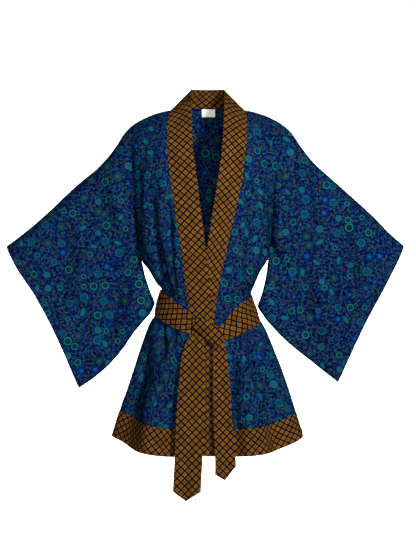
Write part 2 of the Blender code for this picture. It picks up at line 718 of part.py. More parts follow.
def wall(sheet):
    """The points and faces of a closed wall round a sheet's middle surface."""
    middle = trimmed(sheet)
    count = len(middle)
    half = sheet.normals * (sheet.thick / 2)
    points = np.concatenate([middle + half, middle - half])
    faces = list(sheet.faces)
    faces += [[i + count for i in face[::-1]] for face in sheet.faces]
    faces += [[b, a, a + count, b + count] for a, b in sheet.border()]
    return points, faces


def material(name, colour, roughness):
    """A plain cloth material."""
    made = bpy.data.materials.new(name)
    made.use_nodes = True
    shader = made.node_tree.nodes["Principled BSDF"]
    shader.inputs["Base Color"].default_value = (*colour, 1)
    shader.inputs["Roughness"].default_value = roughness
    shader.inputs["Metallic"].default_value = 0
    made.diffuse_color = (*colour, 1)
    return made


def add_object(name, points, faces, made_of, collection):
    """Adds one named solid to the collection."""
    mesh = bpy.data.meshes.new(name)
    mesh.from_pydata([tuple(point) for point in points], [], faces)
    mesh.validate()
    mesh.shade_smooth()
    mesh.set_sharp_from_angle(angle=SHARP_EDGE)
    mesh.materials.append(made_of)
    added = bpy.data.objects.new(name, mesh)
    collection.objects.link(added)
    return added


def faces_front(points, normals):
    return -normals[:, 1].sum()


def faces_back(points, normals):
    return normals[:, 1].sum()


def faces_from_axis(points, normals):
    """Above zero where the normals point away from the upright line through the neck."""
    return (points[:, :2] * normals[:, :2]).sum()


def band_grid(left_front, right_front):
    """The whole neck band, from the hem on the viewer's left, round the neck, to the hem on the right."""
    left = left_front[:, FRONT_COLUMNS:]
    right = right_front[:, FRONT_COLUMNS:]
    seam = neck_station("seam", NECK_COLUMNS)
    free = neck_station("free", NECK_COLUMNS)
    share = np.linspace(0, 1, BAND_COLUMNS + 1)
    roll = np.sin(share * math.pi) * BAND_ROLL
    stations = []
    for a, b in zip(seam, free):
        station = a + (b - a) * share[:, None]
        station[:, 2] += roll
        stations.append(station)
    left_neck = np.array(stations)
    right_neck = mirrored(left_neck)[::-1]
    return np.concatenate([left[::-1], left_neck[1:], right_neck[1:-1], right])


class Surface:
    """The outside of the robe round the waist and skirt, as the sash and its ends lie on it."""

    def __init__(self):
        self.level = np.linspace(ARMPIT, HEM, SURFACE_ROWS)

    def point(self, degrees, z, off):
        """The point at some degrees round the body and at a height, moved out by off."""
        turn = math.radians(degrees)
        side = -1 if math.cos(turn) > 0 else 1
        share = side * abs(math.cos(turn)) ** (2 / SECTION_ROUND)
        layer = "front" if degrees <= 180 else "back"
        line = layer_points(side, self.level, share * body(side, "x", self.level), layer)
        order = np.argsort(line[:, 2])
        found = np.array([np.interp(z, line[order, 2], line[order, axis]) for axis in range(3)])
        return found + off * np.array(self.outward(degrees))

    @staticmethod
    def outward(degrees):
        """A level direction away from the body, squarer than a circle's as the section is."""
        turn = math.radians(degrees)
        way = np.array([-math.cos(turn), -math.sin(turn) * SECTION_SQUARE, 0])
        return way / np.linalg.norm(way)

    def ahead(self, x, z, off):
        """The point straight in front at x and z, moved forward by off. Below the hem it hangs straight."""
        side = -1 if x < 0 else 1
        line = layer_points(side, self.level, np.full_like(self.level, x), "front")
        order = np.argsort(line[:, 2])
        y = np.interp(z, line[order, 2], line[order, 1])
        return np.array([x, y - off, z])


def sash_grid(surface, stations, rows):
    """The sash round the waist, as a closed ring."""
    off = BAND_THICK / 2 + REST_GAP + SASH_THICK / 2
    ring = []
    for degrees in np.linspace(0, 360, stations + 1)[:-1]:
        top, foot = sash_edges(degrees)
        ring.append([
            surface.point(degrees, top + (foot - top) * t, off + SASH_SWELL * math.sin(math.pi * t))
            for t in np.linspace(0, 1, rows + 1)
        ])
    ring.append(ring[0])
    return np.array(ring)


def end_grid(surface, table, tip, columns_count):
    """One hanging end of the sash, down to its pointed tip."""
    share = np.linspace(0, 1, columns_count + 1)
    rows = []
    for left, right, z, off in zip(table["left_x"], table["right_x"], table["z"], table["off"]):
        rows.append([surface.ahead(left + (right - left) * t, z, off) for t in share])
    last = np.array(rows[-1])
    corner_z = last[0, 2] - TIP_SHOULDER
    x = np.interp(share, (0, 0.5, 1), (last[0, 0], tip[0], last[-1, 0]))
    z = np.interp(share, (0, 0.5, 1), (corner_z, tip[1], corner_z))
    rows.append(np.stack([x, last[:, 1], z], -1))
    return np.array(rows)


def knot_solid(surface, spokes, rings):
    """The knot as a closed lump: a soft creased front over a back that lies on the sash."""
    points = []
    turn = np.array([math.cos(KNOT_SLANT), math.sin(KNOT_SLANT)])
    across_turn = np.array([-turn[1], turn[0]])

    def place(radius, angle, raised):
        power = KNOT_SQUARE
        square = (abs(math.cos(angle)) ** power + abs(math.sin(angle)) ** power) ** (-1 / power)
        u = KNOT_LONG * radius * square * math.cos(angle)
        v = KNOT_SHORT * radius * square * math.sin(angle)
        x, z = np.array(KNOT_MIDDLE) + turn * u + across_turn * v
        dome = (1 - radius ** KNOT_FLAT) * KNOT_HIGH
        crease = KNOT_CREASE_DEEP * math.cos(KNOT_CREASES * math.pi * v / KNOT_SHORT) * (1 - radius)
        return surface.ahead(x, z, KNOT_OFF + (KNOT_EDGE + dome + crease if raised else 0))

    points.append(place(0, 0, True))
    angles = np.linspace(0, 2 * math.pi, spokes + 1)[:-1]
    for ring in range(1, rings + 1):
        points += [place(ring / rings, angle, True) for angle in angles]
    for ring in range(rings, 0, -2):
        points += [place(ring / rings * KNOT_BACK_SHARE, angle, False) for angle in angles]
    points.append(place(0, 0, False))
    layers = (len(points) - 2) // spokes
    faces = []
    for k in range(spokes):
        n = (k + 1) % spokes
        faces.append([0, 1 + k, 1 + n])
        for layer in range(layers - 1):
            a = 1 + layer * spokes
            faces.append([a + n, a + k, a + spokes + k, a + spokes + n])
        a = 1 + (layers - 1) * spokes
        faces.append([a + n, a + k, len(points) - 1])
    return np.array(points), faces


def label_grid(back):
    """The label, which hangs from the seam inside the back of the neck and follows the back's inner side."""
    inset = CLOTH_THICK / 2 + SEAM_GAP + LABEL_THICK / 2
    top = NECK["seam_z"][-1] - LABEL_BELOW_SEAM
    upper_rows = back[:ARM_ROWS // 2, FRONT_COLUMNS:-FRONT_COLUMNS]
    columns_x = np.linspace(-LABEL_WIDE / 2, LABEL_WIDE / 2, LABEL_COLUMNS + 1) + LABEL_MIDDLE
    grid = []
    for z in np.linspace(top, top - LABEL_HIGH, LABEL_ROWS + 1):
        row = []
        for x in columns_x:
            line_z = [np.interp(x, line[:, 0], line[:, 2]) for line in upper_rows[::-1]]
            line_y = [np.interp(x, line[:, 0], line[:, 1]) for line in upper_rows[::-1]]
            row.append([x, np.interp(z, line_z, line_y) - inset, z])
        grid.append(row)
    return np.array(grid)


def build():
    """Makes every piece of the robe."""
    for old in list(bpy.data.objects):
        bpy.data.objects.remove(old, do_unlink=True)
    robe = bpy.data.collections.new("kimono_robe")
    bpy.context.scene.collection.children.link(robe)
    floral = material("navy_floral_viscose", NAVY_FLORAL, VISCOSE_ROUGH)
    lattice = material("gold_lattice_viscose", GOLD_LATTICE, VISCOSE_ROUGH)
    satin = material("label_satin", WHITE_SATIN, SATIN_ROUGH)

    left_front = front_grid(-1)
    right_front = front_grid(1)
    back = back_grid(left_front, right_front)
    left_sleeve = sleeve_grids(-1, left_front, back)
    right_sleeve = sleeve_grids(1, right_front, back)
    panel = np.s_[:HEM_SEAM_ROW + 1, :FRONT_COLUMNS + 1]
    hem = np.s_[HEM_SEAM_ROW:, :FRONT_COLUMNS + 1]
    band = band_grid(left_front, right_front)
    behind = len(band) // 2
    right_shoulder = behind - NECK_COLUMNS
    left_shoulder = behind + NECK_COLUMNS
    body_sheets = [
        (Sheet("front_right", CLOTH_THICK, left_front[panel], faces_front), floral),
        (Sheet("front_left", CLOTH_THICK, right_front[panel], faces_front), floral),
        (Sheet("back", CLOTH_THICK, back[:HEM_SEAM_ROW + 1], faces_back), floral),
        (Sheet("sleeve_right_front", CLOTH_THICK, left_sleeve[0], faces_front), floral),
        (Sheet("sleeve_right_back", CLOTH_THICK, left_sleeve[1], faces_back), floral),
        (Sheet("sleeve_left_front", CLOTH_THICK, right_sleeve[0], faces_front), floral),
        (Sheet("sleeve_left_back", CLOTH_THICK, right_sleeve[1], faces_back), floral),
        (Sheet("neck_band_right", BAND_THICK, band[:right_shoulder + 1], faces_from_axis), lattice),
        (Sheet("neck_band_back_right", BAND_THICK, band[right_shoulder:behind + 1], faces_from_axis), lattice),
        (Sheet("neck_band_back_left", BAND_THICK, band[behind:left_shoulder + 1], faces_from_axis), lattice),
        (Sheet("neck_band_left", BAND_THICK, band[left_shoulder:], faces_from_axis), lattice),
        (Sheet("hem_band_right", HEM_THICK, left_front[hem], faces_front), lattice),
        (Sheet("hem_band_left", HEM_THICK, right_front[hem], faces_front), lattice),
        (Sheet("hem_band_back", HEM_THICK, back[HEM_SEAM_ROW:], faces_back), lattice),
    ]
    sew([sheet for sheet, _ in body_sheets])

    surface = Surface()
    waist = sash_grid(surface, SASH_STATIONS, SASH_ROWS)
    long_end = end_grid(surface, LONG_END, LONG_TIP, END_COLUMNS)
    short_end = end_grid(surface, SHORT_END, SHORT_TIP, END_COLUMNS)
    sash_sheets = [
        (Sheet("sash_waist", SASH_THICK, waist, faces_from_axis), lattice),
        (Sheet("sash_end_long", SASH_THICK, long_end, faces_front), lattice),
        (Sheet("sash_end_short", SASH_THICK, short_end, faces_front), lattice),
        (Sheet("label", LABEL_THICK, label_grid(back), faces_front), satin),
    ]
    for sheet, _ in sash_sheets:
        sheet.hang_back = np.zeros(len(sheet.points))

    for sheet, made_of in body_sheets + sash_sheets:
        points, faces = wall(sheet)
        add_object(sheet.name, points, faces, made_of, robe)
    points, faces = knot_solid(surface, KNOT_SPOKES, KNOT_RINGS)
    add_object("sash_knot", points, faces, lattice, robe)


build()
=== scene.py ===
# %% [markdown]
# # A short kimono robe with a sash
#
# This lesson dresses a robe that is worn with no wearer: hollow navy cloth with a small floral print, and a
# neck band, a hem band and a sash in gold lattice cloth. The solids come first, as a fixed frame. Every
# piece of cloth is then made again as a thin shell on the same form, with finer folds, its own cut pattern
# for the print, and its stitching.
#
# X runs to the viewer's right, Y to the back and Z up, in metres. The wearer's right is the viewer's left.

# %% Load the frame
import math

import bmesh
import bpy
import mathutils
import numpy as np
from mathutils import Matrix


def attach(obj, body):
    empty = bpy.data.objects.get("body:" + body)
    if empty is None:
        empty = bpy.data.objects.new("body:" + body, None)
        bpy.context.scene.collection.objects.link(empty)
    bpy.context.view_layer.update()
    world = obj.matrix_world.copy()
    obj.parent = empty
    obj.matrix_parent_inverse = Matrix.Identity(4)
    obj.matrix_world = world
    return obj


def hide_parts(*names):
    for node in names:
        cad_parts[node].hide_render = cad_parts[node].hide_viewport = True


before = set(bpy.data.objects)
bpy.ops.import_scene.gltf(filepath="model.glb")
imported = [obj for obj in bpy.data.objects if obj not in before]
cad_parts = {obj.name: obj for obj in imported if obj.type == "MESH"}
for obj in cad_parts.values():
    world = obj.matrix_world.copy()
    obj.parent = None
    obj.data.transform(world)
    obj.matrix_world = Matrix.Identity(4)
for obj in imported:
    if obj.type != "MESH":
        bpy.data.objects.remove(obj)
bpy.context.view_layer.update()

# %% [markdown]
# ## Camera
#
# The robe hangs in front of a level camera, as in a shop's picture on white. The picture is 542 pixels high
# and a pixel is 2.5 mm at the robe's middle plane, so the focal length follows from the distance. Blender
# fits the sensor to the picture's longer side, which is its height here. A long distance keeps the sleeves
# from looking larger than the body.

# %% Camera
PIXEL = 0.0025
PICTURE_HIGH = 542
CAMERA_AWAY = 3.6
SENSOR = 36.0
MIDDLE_X = 0.001
MIDDLE_Z = -0.4025


def added(name, data):
    """A new object in the scene for a camera, a lamp or a mesh."""
    made = bpy.data.objects.new(name, data)
    bpy.context.scene.collection.objects.link(made)
    return made


lens = bpy.data.cameras.new("camera")
lens.sensor_width = SENSOR
lens.lens = SENSOR * CAMERA_AWAY / (PICTURE_HIGH * PIXEL)
camera = added("camera", lens)
camera.location = (MIDDLE_X, -CAMERA_AWAY, MIDDLE_Z)
camera.rotation_euler = (math.pi / 2, 0, 0)
bpy.context.scene.camera = camera
print("focal length in mm:", round(lens.lens, 1))

# %% [markdown]
# ## Nodes and colours
#
# Colours are written as sRGB hex values, as a screen shows them, and one function turns them into the
# linear light that a shader needs. Another gives a node its inputs, as values or as links, and a third adds
# a node with its settings and its inputs.

# %% Colour and node helpers
def linear(hex_colour):
    """The linear light of an sRGB colour such as #1a2b3c."""
    parts = [int(hex_colour[i:i + 2], 16) / 255 for i in (1, 3, 5)]
    light = [v / 12.92 if v <= 0.04045 else ((v + 0.055) / 1.055) ** 2.4 for v in parts]
    return (*light, 1.0)


def fill(tree, node, inputs):
    """Gives a node its inputs. Each is a value, or an output that is linked to it."""
    for name, value in inputs.items():
        if isinstance(value, bpy.types.NodeSocket):
            tree.links.new(value, node.inputs[name])
        else:
            node.inputs[name].default_value = value


def put(tree, kind, settings=None, inputs=None, stops=None):
    """Adds a node and returns its outputs. Stops are places and colours along a colour ramp."""
    made = tree.nodes.new(kind)
    for name, value in (settings or {}).items():
        setattr(made, name, value)
    fill(tree, made, inputs or {})
    if stops:
        ramp = made.color_ramp.elements
        while len(ramp) < len(stops):
            ramp.new(0.5)
        for stop, (place, colour) in zip(ramp, stops):
            stop.position = place
            stop.color = linear(colour)
    return made.outputs


def new_material(name):
    """A new material, with its node tree and its Principled shader."""
    made = bpy.data.materials.new(name)
    made.use_nodes = True
    return made, made.node_tree, made.node_tree.nodes["Principled BSDF"]


print("a mid grey in linear light:", round(linear("#808080")[0], 3))

# %% [markdown]
# ## A scatter of printed flowers
#
# A small floral print is a crowd of flowers, buds and leaves that keep off each other. The cells of a
# Voronoi texture do the same: what is drawn round a cell's centre stays inside the cell. The group measures
# how far a point of the cloth's flat cut is from its cell's centre, as a share of the flower's radius, so
# that a colour ramp can draw rings, hearts and petals.

# %% Flower scatter group
SMALLEST_FLOWER = 0.72


def flower_scatter():
    """A node group that scatters flowers over the flat cut and gives each point its place in its flower."""
    group = bpy.data.node_groups.new("flower scatter", "ShaderNodeTree")
    ports = group.interface
    ports.new_socket("Cut", in_out="INPUT", socket_type="NodeSocketVector")
    for name in ("Spacing", "Radius", "Petals", "Petal Depth", "Stretch", "Jitter"):
        ports.new_socket(name, in_out="INPUT", socket_type="NodeSocketFloat")
    for name in ("Zone", "Pick"):
        ports.new_socket(name, in_out="OUTPUT", socket_type="NodeSocketFloat")
    given = put(group, "NodeGroupInput")

    per_spacing = put(group, "ShaderNodeMath", {"operation": "DIVIDE"}, {0: 1.0, 1: given["Spacing"]})[0]
    in_cells = put(group, "ShaderNodeVectorMath", {"operation": "SCALE"},
                   {0: given["Cut"], 3: per_spacing})[0]
    cells = put(group, "ShaderNodeTexVoronoi", {"voronoi_dimensions": "2D"},
                {"Vector": in_cells, "Scale": 1.0, "Randomness": given["Jitter"]})
    chance = put(group, "ShaderNodeSeparateColor", None, {0: cells["Color"]})
    from_centre = put(group, "ShaderNodeVectorMath", {"operation": "SUBTRACT"},
                      {0: in_cells, 1: cells["Position"]})[0]
    turn = put(group, "ShaderNodeMath", {"operation": "MULTIPLY"}, {0: chance[0], 1: 2 * math.pi})[0]
    turned = put(group, "ShaderNodeVectorRotate", {"rotation_type": "Z_AXIS"},
                 {"Vector": from_centre, "Angle": turn})[0]
    stretched = put(group, "ShaderNodeCombineXYZ", None, {0: 1.0, 1: given["Stretch"], 2: 0.0})[0]
    local = put(group, "ShaderNodeVectorMath", {"operation": "MULTIPLY"}, {0: turned, 1: stretched})[0]
    distance = put(group, "ShaderNodeVectorMath", {"operation": "LENGTH"}, {0: local})["Value"]
    metres = put(group, "ShaderNodeMath", {"operation": "MULTIPLY"}, {0: distance, 1: given["Spacing"]})[0]

    size = put(group, "ShaderNodeMapRange", None, {"Value": chance[1], "To Min": SMALLEST_FLOWER})[0]
    radius = put(group, "ShaderNodeMath", {"operation": "MULTIPLY"}, {0: given["Radius"], 1: size})[0]
    place = put(group, "ShaderNodeSeparateXYZ", None, {0: local})
    angle = put(group, "ShaderNodeMath", {"operation": "ARCTAN2"}, {0: place["Y"], 1: place["X"]})[0]
    waves = put(group, "ShaderNodeMath", {"operation": "MULTIPLY"}, {0: angle, 1: given["Petals"]})[0]
    wave = put(group, "ShaderNodeMath", {"operation": "COSINE"}, {0: waves})[0]
    notch = put(group, "ShaderNodeMath", {"operation": "MULTIPLY_ADD"},
                {0: wave, 1: given["Petal Depth"], 2: 1.0})[0]
    edge = put(group, "ShaderNodeMath", {"operation": "MULTIPLY"}, {0: radius, 1: notch})[0]
    zone = put(group, "ShaderNodeMath", {"operation": "DIVIDE"}, {0: metres, 1: edge})[0]
    put(group, "NodeGroupOutput", None, {"Zone": zone, "Pick": chance[2]})
    return group


FLOWERS = flower_scatter()
print("nodes in the flower group:", len(FLOWERS.nodes))

# %% [markdown]
# ## Navy floral viscose
#
# The body and sleeves are a light viscose, printed all over. The ground is almost black navy, with blue
# strokes and grey-olive specks, under leaves, buds and round ring flowers about 20 mm wide in teal and
# blue. The motifs are ordinary ones, drawn by rule in a layout of their own. Each is a row in a table, with
# its size, its shape and its colours from the centre out.

# %% Motifs and colours
GROUND = ((0.36, "#02061e"), (0.46, "#040c34"), (0.53, "#091943"), (0.60, "#0d284c"), (0.68, "#143748"))
OLIVE = ((0.0, "#2e3a34"), (0.6, "#263230"), (1.0, "#0f1c30"))
BROWN = ((0.0, "#38312b"), (1.0, "#191d2d"))
BLUE = ((0.0, "#0d2b6a"), (0.6, "#0c235a"), (1.0, "#071640"))
INK = ((0.0, "#03081e"), (0.7, "#030a28"), (1.0, "#050d32"))
TEAL = ((0.0, "#0b5159"), (0.6, "#09424f"), (1.0, "#05203b"))
SHADE = ((0.0, "#1c3f3c"), (0.45, "#19383a"), (0.66, "#061834"), (0.82, "#143a3d"), (1.0, "#041330"))
LEAF = ((0.0, "#10514f"), (0.40, "#0c4a50"), (0.75, "#094252"), (0.90, "#062c47"), (1.0, "#041436"))
BUD = ((0.0, "#030726"), (0.34, "#040d2c"), (0.50, "#0a464f"), (0.78, "#0c4f56"), (1.0, "#062440"))
DOUBLE = ((0.0, "#0a3a6c"), (0.22, "#093462"), (0.34, "#030f30"), (0.46, "#0a3f58"), (0.58, "#051838"),
          (0.70, "#0a4856"), (0.90, "#0a4350"), (1.0, "#041436"))
RING = ((0.0, "#213834"), (0.24, "#15282a"), (0.36, "#02061c"), (0.50, "#030b28"), (0.60, "#094a50"),
        (0.84, "#0c565a"), (0.94, "#073845"), (1.0, "#02061a"))
DISC = ((0.0, "#24423c"), (0.34, "#1a4044"), (0.50, "#0b4359"), (0.84, "#0d4b64"), (0.94, "#083052"),
        (1.0, "#020926"))
HEART = ((0.0, "#0c505c"), (0.30, "#0a4064"), (0.50, "#092b68"), (0.85, "#072058"), (1.0, "#030b30"))

# Name: spacing, radius, petals, petal depth, stretch, jitter, share of the cells that bloom, colours.
SPECKS = {
    "blue strokes": (0.0112, 0.0056, 2, 0.24, 2.0, 1.00, 0.58, BLUE),
    "olive specks": (0.0100, 0.0045, 3, 0.24, 1.6, 1.00, 0.60, OLIVE),
    "ink specks": (0.0108, 0.0042, 2, 0.22, 1.8, 1.00, 0.42, INK),
    "brown specks": (0.0140, 0.0035, 2, 0.22, 1.6, 1.00, 0.40, BROWN),
    "teal strokes": (0.0106, 0.0037, 3, 0.24, 1.7, 1.00, 0.52, TEAL),
}
# Name: radius, petals, petal depth, stretch, share of the cells, colours.
FLOWER_KINDS = {
    "shades": (0.0120, 9, 0.06, 1.0, 0.15, SHADE),
    "leaves": (0.0118, 2, 0.12, 1.5, 0.15, LEAF),
    "buds": (0.0086, 5, 0.08, 1.0, 0.14, BUD),
    "doubles": (0.0116, 9, 0.08, 1.0, 0.17, DOUBLE),
    "discs": (0.0106, 11, 0.03, 1.0, 0.13, DISC),
    "rings": (0.0118, 8, 0.03, 1.0, 0.13, RING),
    "hearts": (0.0092, 5, 0.12, 1.0, 0.10, HEART),
}
FLOWER_SPACING = 0.0368
FLOWER_JITTER = 0.78
print("kinds of speck and of flower:", len(SPECKS), len(FLOWER_KINDS))

# %% [markdown]
# ## Printing in layers
#
# The print is laid from the ground up: specks in layers, then the flowers, which share one loose grid, so
# that each place grows one kind. Each layer covers the colour so far, inside its motifs and in the cells
# that chance gives to it. A fine noise bends the drawing a little, as ink that has bled into the cloth. Its
# ripples are about 4 mm long, and the ground's own mottle is about 6 mm wide.

# %% Print layers
EDGE_SOFT = 0.22
LAYER_SHIFT = (0.37, 0.61)
INK_BLEED = 0.0034
RIPPLES_IN_METRE = 240.0
MOTTLES_IN_METRE = 160.0
MOTTLE_DETAIL = 3.0
MOTTLE_ROUGH = 0.6


def print_layer(tree, cut, number, layer, colour):
    """One kind of speck or flower over the colour so far, in those cells whose chance is in its range."""
    spacing, radius, petals, depth, stretch, jitter, chance_from, chance_to, stops = layer
    shift = (LAYER_SHIFT[0] * number, LAYER_SHIFT[1] * number, 0.0)
    moved = put(tree, "ShaderNodeVectorMath", {"operation": "ADD"}, {0: cut, 1: shift})[0]
    flower = put(tree, "ShaderNodeGroup", {"node_tree": FLOWERS}, {
        "Cut": moved, "Spacing": spacing, "Radius": radius, "Petals": petals,
        "Petal Depth": depth, "Stretch": stretch, "Jitter": jitter,
    })
    drawn = put(tree, "ShaderNodeValToRGB", None, {0: flower["Zone"]}, stops)[0]
    inside = put(tree, "ShaderNodeMapRange", {"interpolation_type": "SMOOTHSTEP"},
                 {"Value": flower["Zone"], "From Min": 1.0 + EDGE_SOFT, "From Max": 1.0})[0]
    blooms = put(tree, "ShaderNodeMath", {"operation": "COMPARE"},
                 {0: flower["Pick"], 1: (chance_from + chance_to) / 2, 2: (chance_to - chance_from) / 2})[0]
    amount = put(tree, "ShaderNodeMath", {"operation": "MULTIPLY"}, {0: inside, 1: blooms})[0]
    mixed = put(tree, "ShaderNodeMix", {"data_type": "RGBA"}, {"Factor": amount, "A": colour, "B": drawn})
    return [socket for socket in mixed if socket.type == "RGBA"][0]


def floral_colour(tree, cut):
    """The printed colour at each place of the cut: ground, specks, then flowers that share one layout."""
    wobble = put(tree, "ShaderNodeTexNoise", {"noise_dimensions": "2D"},
                 {"Vector": cut, "Scale": RIPPLES_IN_METRE})["Color"]
    cut = put(tree, "ShaderNodeVectorMath", {"operation": "MULTIPLY_ADD"},
              {0: wobble, 1: (INK_BLEED, INK_BLEED, 0.0), 2: cut})[0]
    mottle = put(tree, "ShaderNodeTexNoise", {"noise_dimensions": "2D"},
                 {"Vector": cut, "Scale": MOTTLES_IN_METRE, "Detail": MOTTLE_DETAIL,
                  "Roughness": MOTTLE_ROUGH})["Fac"]
    colour = put(tree, "ShaderNodeValToRGB", None, {0: mottle}, GROUND)[0]
    for number, (*shape, share, stops) in enumerate(SPECKS.values()):
        colour = print_layer(tree, cut, number, (*shape, 0.0, share, stops), colour)
    taken = 0.0
    for radius, petals, depth, stretch, share, stops in FLOWER_KINDS.values():
        shape = (FLOWER_SPACING, radius, petals, depth, stretch, FLOWER_JITTER)
        colour = print_layer(tree, cut, len(SPECKS), (*shape, taken, taken + share, stops), colour)
        taken += share
    return colour


print("layers of print:", len(SPECKS) + len(FLOWER_KINDS))

# %% [markdown]
# ## Washed viscose
#
# Viscose threads are fine and soft, so the cloth scatters light and looks matt. Any gloss would lift so
# dark a navy to grey, so the specular level is none. Washing leaves the cloth slightly crumpled, in soft
# dents about 18 mm wide. A viscose weave has threads about 0.3 mm apart; they are drawn at 1.2 mm, so that
# the cloth still shows a grain from a step away. Both are bumps, over the real folds of the mesh.

# %% Weave and floral cloth
WEAVE_DRAWN = 0.0012
WEAVE_RAISED = 0.0002
WEAVE_STRENGTH = 0.35
DENTS_IN_METRE = 55.0
DENT_DEEP = 0.0022
FLORAL_DENTED = 0.5
LATTICE_DENTED = 0.4
FLORAL_ROUGH = 0.62
LATTICE_ROUGH = 0.60
NO_GLOSS = 0.0


def woven_bump(tree, cut, strength):
    """A plain weave's small checks and the soft unevenness of washed cloth, as a normal."""
    waves = []
    for axis in ("X", "Y"):
        place = put(tree, "ShaderNodeSeparateXYZ", None, {0: cut})[axis]
        turns = put(tree, "ShaderNodeMath", {"operation": "MULTIPLY"},
                    {0: place, 1: math.pi / WEAVE_DRAWN})[0]
        waves.append(put(tree, "ShaderNodeMath", {"operation": "SINE"}, {0: turns})[0])
    weave = put(tree, "ShaderNodeMath", {"operation": "MULTIPLY"}, {0: waves[0], 1: waves[1]})[0]
    crumple = put(tree, "ShaderNodeTexNoise", {"noise_dimensions": "2D"},
                  {"Vector": cut, "Scale": DENTS_IN_METRE})["Fac"]
    soft = put(tree, "ShaderNodeBump", None,
               {"Strength": strength, "Distance": DENT_DEEP, "Height": crumple})[0]
    return put(tree, "ShaderNodeBump", None,
               {"Strength": WEAVE_STRENGTH, "Distance": WEAVE_RAISED, "Height": weave, "Normal": soft})[0]


navy_floral_viscose, tree, shader = new_material("navy_floral_viscose")
cut = put(tree, "ShaderNodeUVMap", {"uv_map": "cut"})[0]
fill(tree, shader, {
    "Base Color": floral_colour(tree, cut), "Normal": woven_bump(tree, cut, FLORAL_DENTED),
    "Roughness": FLORAL_ROUGH, "Specular IOR Level": NO_GLOSS,
})
print("nodes in the floral cloth:", len(tree.nodes))

# %% [markdown]
# ## Gold lattice viscose
#
# The neck band, the hem band and the sash are cut from one cloth: gold squares with a small rust heart, in
# a dark lattice that runs at 45 degrees to the strips. Lines are 12.9 mm apart and about 3 mm wide. A
# Voronoi texture with no randomness and square cells draws it: the distance from a cell's centre, measured
# as a square, runs from the heart through the gold to the dark line. Each square takes a tone of its own,
# so that the strips look lively from a step away.

# %% Lattice print
LATTICE_PERIOD = 0.0129
LATTICE_TONES = (0.73, 1.09)
LATTICE = ((0.0, "#46250c"), (0.20, "#502d0e"), (0.36, "#6c4911"), (0.60, "#684611"), (0.70, "#553710"),
           (0.78, "#261811"), (0.84, "#07091c"), (1.0, "#030415"))

gold_lattice_viscose, tree, shader = new_material("gold_lattice_viscose")
cut = put(tree, "ShaderNodeUVMap", {"uv_map": "cut"})[0]
turned = put(tree, "ShaderNodeVectorRotate", {"rotation_type": "Z_AXIS"},
             {"Vector": cut, "Angle": math.pi / 4})[0]
squares = put(tree, "ShaderNodeTexVoronoi", {"voronoi_dimensions": "2D", "distance": "CHEBYCHEV"},
              {"Vector": turned, "Scale": 1 / LATTICE_PERIOD, "Randomness": 0.0})
half_cells = put(tree, "ShaderNodeMath", {"operation": "MULTIPLY"}, {0: squares["Distance"], 1: 2.0})[0]
printed = put(tree, "ShaderNodeValToRGB", None, {0: half_cells}, LATTICE)[0]
chance = put(tree, "ShaderNodeSeparateColor", None, {0: squares["Color"]})[0]
tone = put(tree, "ShaderNodeMapRange", None,
           {"Value": chance, "To Min": LATTICE_TONES[0], "To Max": LATTICE_TONES[1]})[0]
varied = put(tree, "ShaderNodeHueSaturation", None, {"Value": tone, "Color": printed})[0]
fill(tree, shader, {
    "Base Color": varied, "Normal": woven_bump(tree, cut, LATTICE_DENTED),
    "Roughness": LATTICE_ROUGH, "Specular IOR Level": NO_GLOSS,
})
print("lattice squares across a 60 mm band:", round(0.060 / (LATTICE_PERIOD * math.sqrt(2)), 1))

# %% [markdown]
# ## Satin ribbon and sewing thread
#
# The label is a white satin ribbon. Its threads float over one another along its length, which gives it
# fine streaks and a soft gloss. The streaks are about 17 mm long and 0.4 mm wide. The sewing thread is
# polyester with a twist too fine to show, so it only varies in shade, every millimetre or so.

# %% Ribbon and thread
STREAKS_IN_METRE = (60.0, 2600.0)
STREAK_RAISED = 0.0002
STREAK_STRENGTH = 0.3
RIBBON = ((0.3, "#eceae4"), (0.7, "#fdfcf8"))
RIBBON_ROUGH = 0.38
RIBBON_SHEEN = 0.1
SHADES_IN_METRE = 900.0
THREAD_ROUGH = 0.5

label_satin, tree, shader = new_material("label_satin")
cut = put(tree, "ShaderNodeUVMap", {"uv_map": "cut"})[0]
drawn_out = put(tree, "ShaderNodeVectorMath", {"operation": "MULTIPLY"},
                {0: cut, 1: (*STREAKS_IN_METRE, 0.0)})[0]
streaks = put(tree, "ShaderNodeTexNoise", {"noise_dimensions": "2D"},
              {"Vector": drawn_out, "Scale": 1.0})["Fac"]
ribbon = put(tree, "ShaderNodeValToRGB", None, {0: streaks}, RIBBON)[0]
ribbon_bump = put(tree, "ShaderNodeBump", None,
                  {"Strength": STREAK_STRENGTH, "Distance": STREAK_RAISED, "Height": streaks})[0]
fill(tree, shader, {
    "Base Color": ribbon, "Normal": ribbon_bump, "Roughness": RIBBON_ROUGH, "Sheen Weight": RIBBON_SHEEN,
})


def thread_material(name, dark, light):
    """Sewing thread that varies in shade from stitch to stitch."""
    made, tree, shader = new_material(name)
    place = put(tree, "ShaderNodeTexCoord")["Object"]
    shade = put(tree, "ShaderNodeTexNoise", None, {"Vector": place, "Scale": SHADES_IN_METRE})["Fac"]
    colour = put(tree, "ShaderNodeValToRGB", None, {0: shade}, ((0.35, dark), (0.65, light)))[0]
    fill(tree, shader, {"Base Color": colour, "Roughness": THREAD_ROUGH})
    return made


navy_thread = thread_material("navy_sewing_thread", "#0a1030", "#16204c")
ochre_thread = thread_material("ochre_sewing_thread", "#3a2710", "#5c4018")
white_thread = thread_material("white_sewing_thread", "#c9c7c0", "#efeee8")
print("materials:", [made.name for made in bpy.data.materials])

# %% [markdown]
# ## Short tables and smooth curves
#
# The robe's form is kept as short tables: a row for each level down the body, or for each place along an
# edge. A curve through the rows that never overshoots them gives every measure in between, so the same
# tables serve a coarse solid and a fine sheet of cloth.

# %% Table helpers
def columns(names, *rows):
    """A short table, with a row in each tuple, as one array for each named column."""
    return dict(zip(names.split(), np.array(rows, float).T))


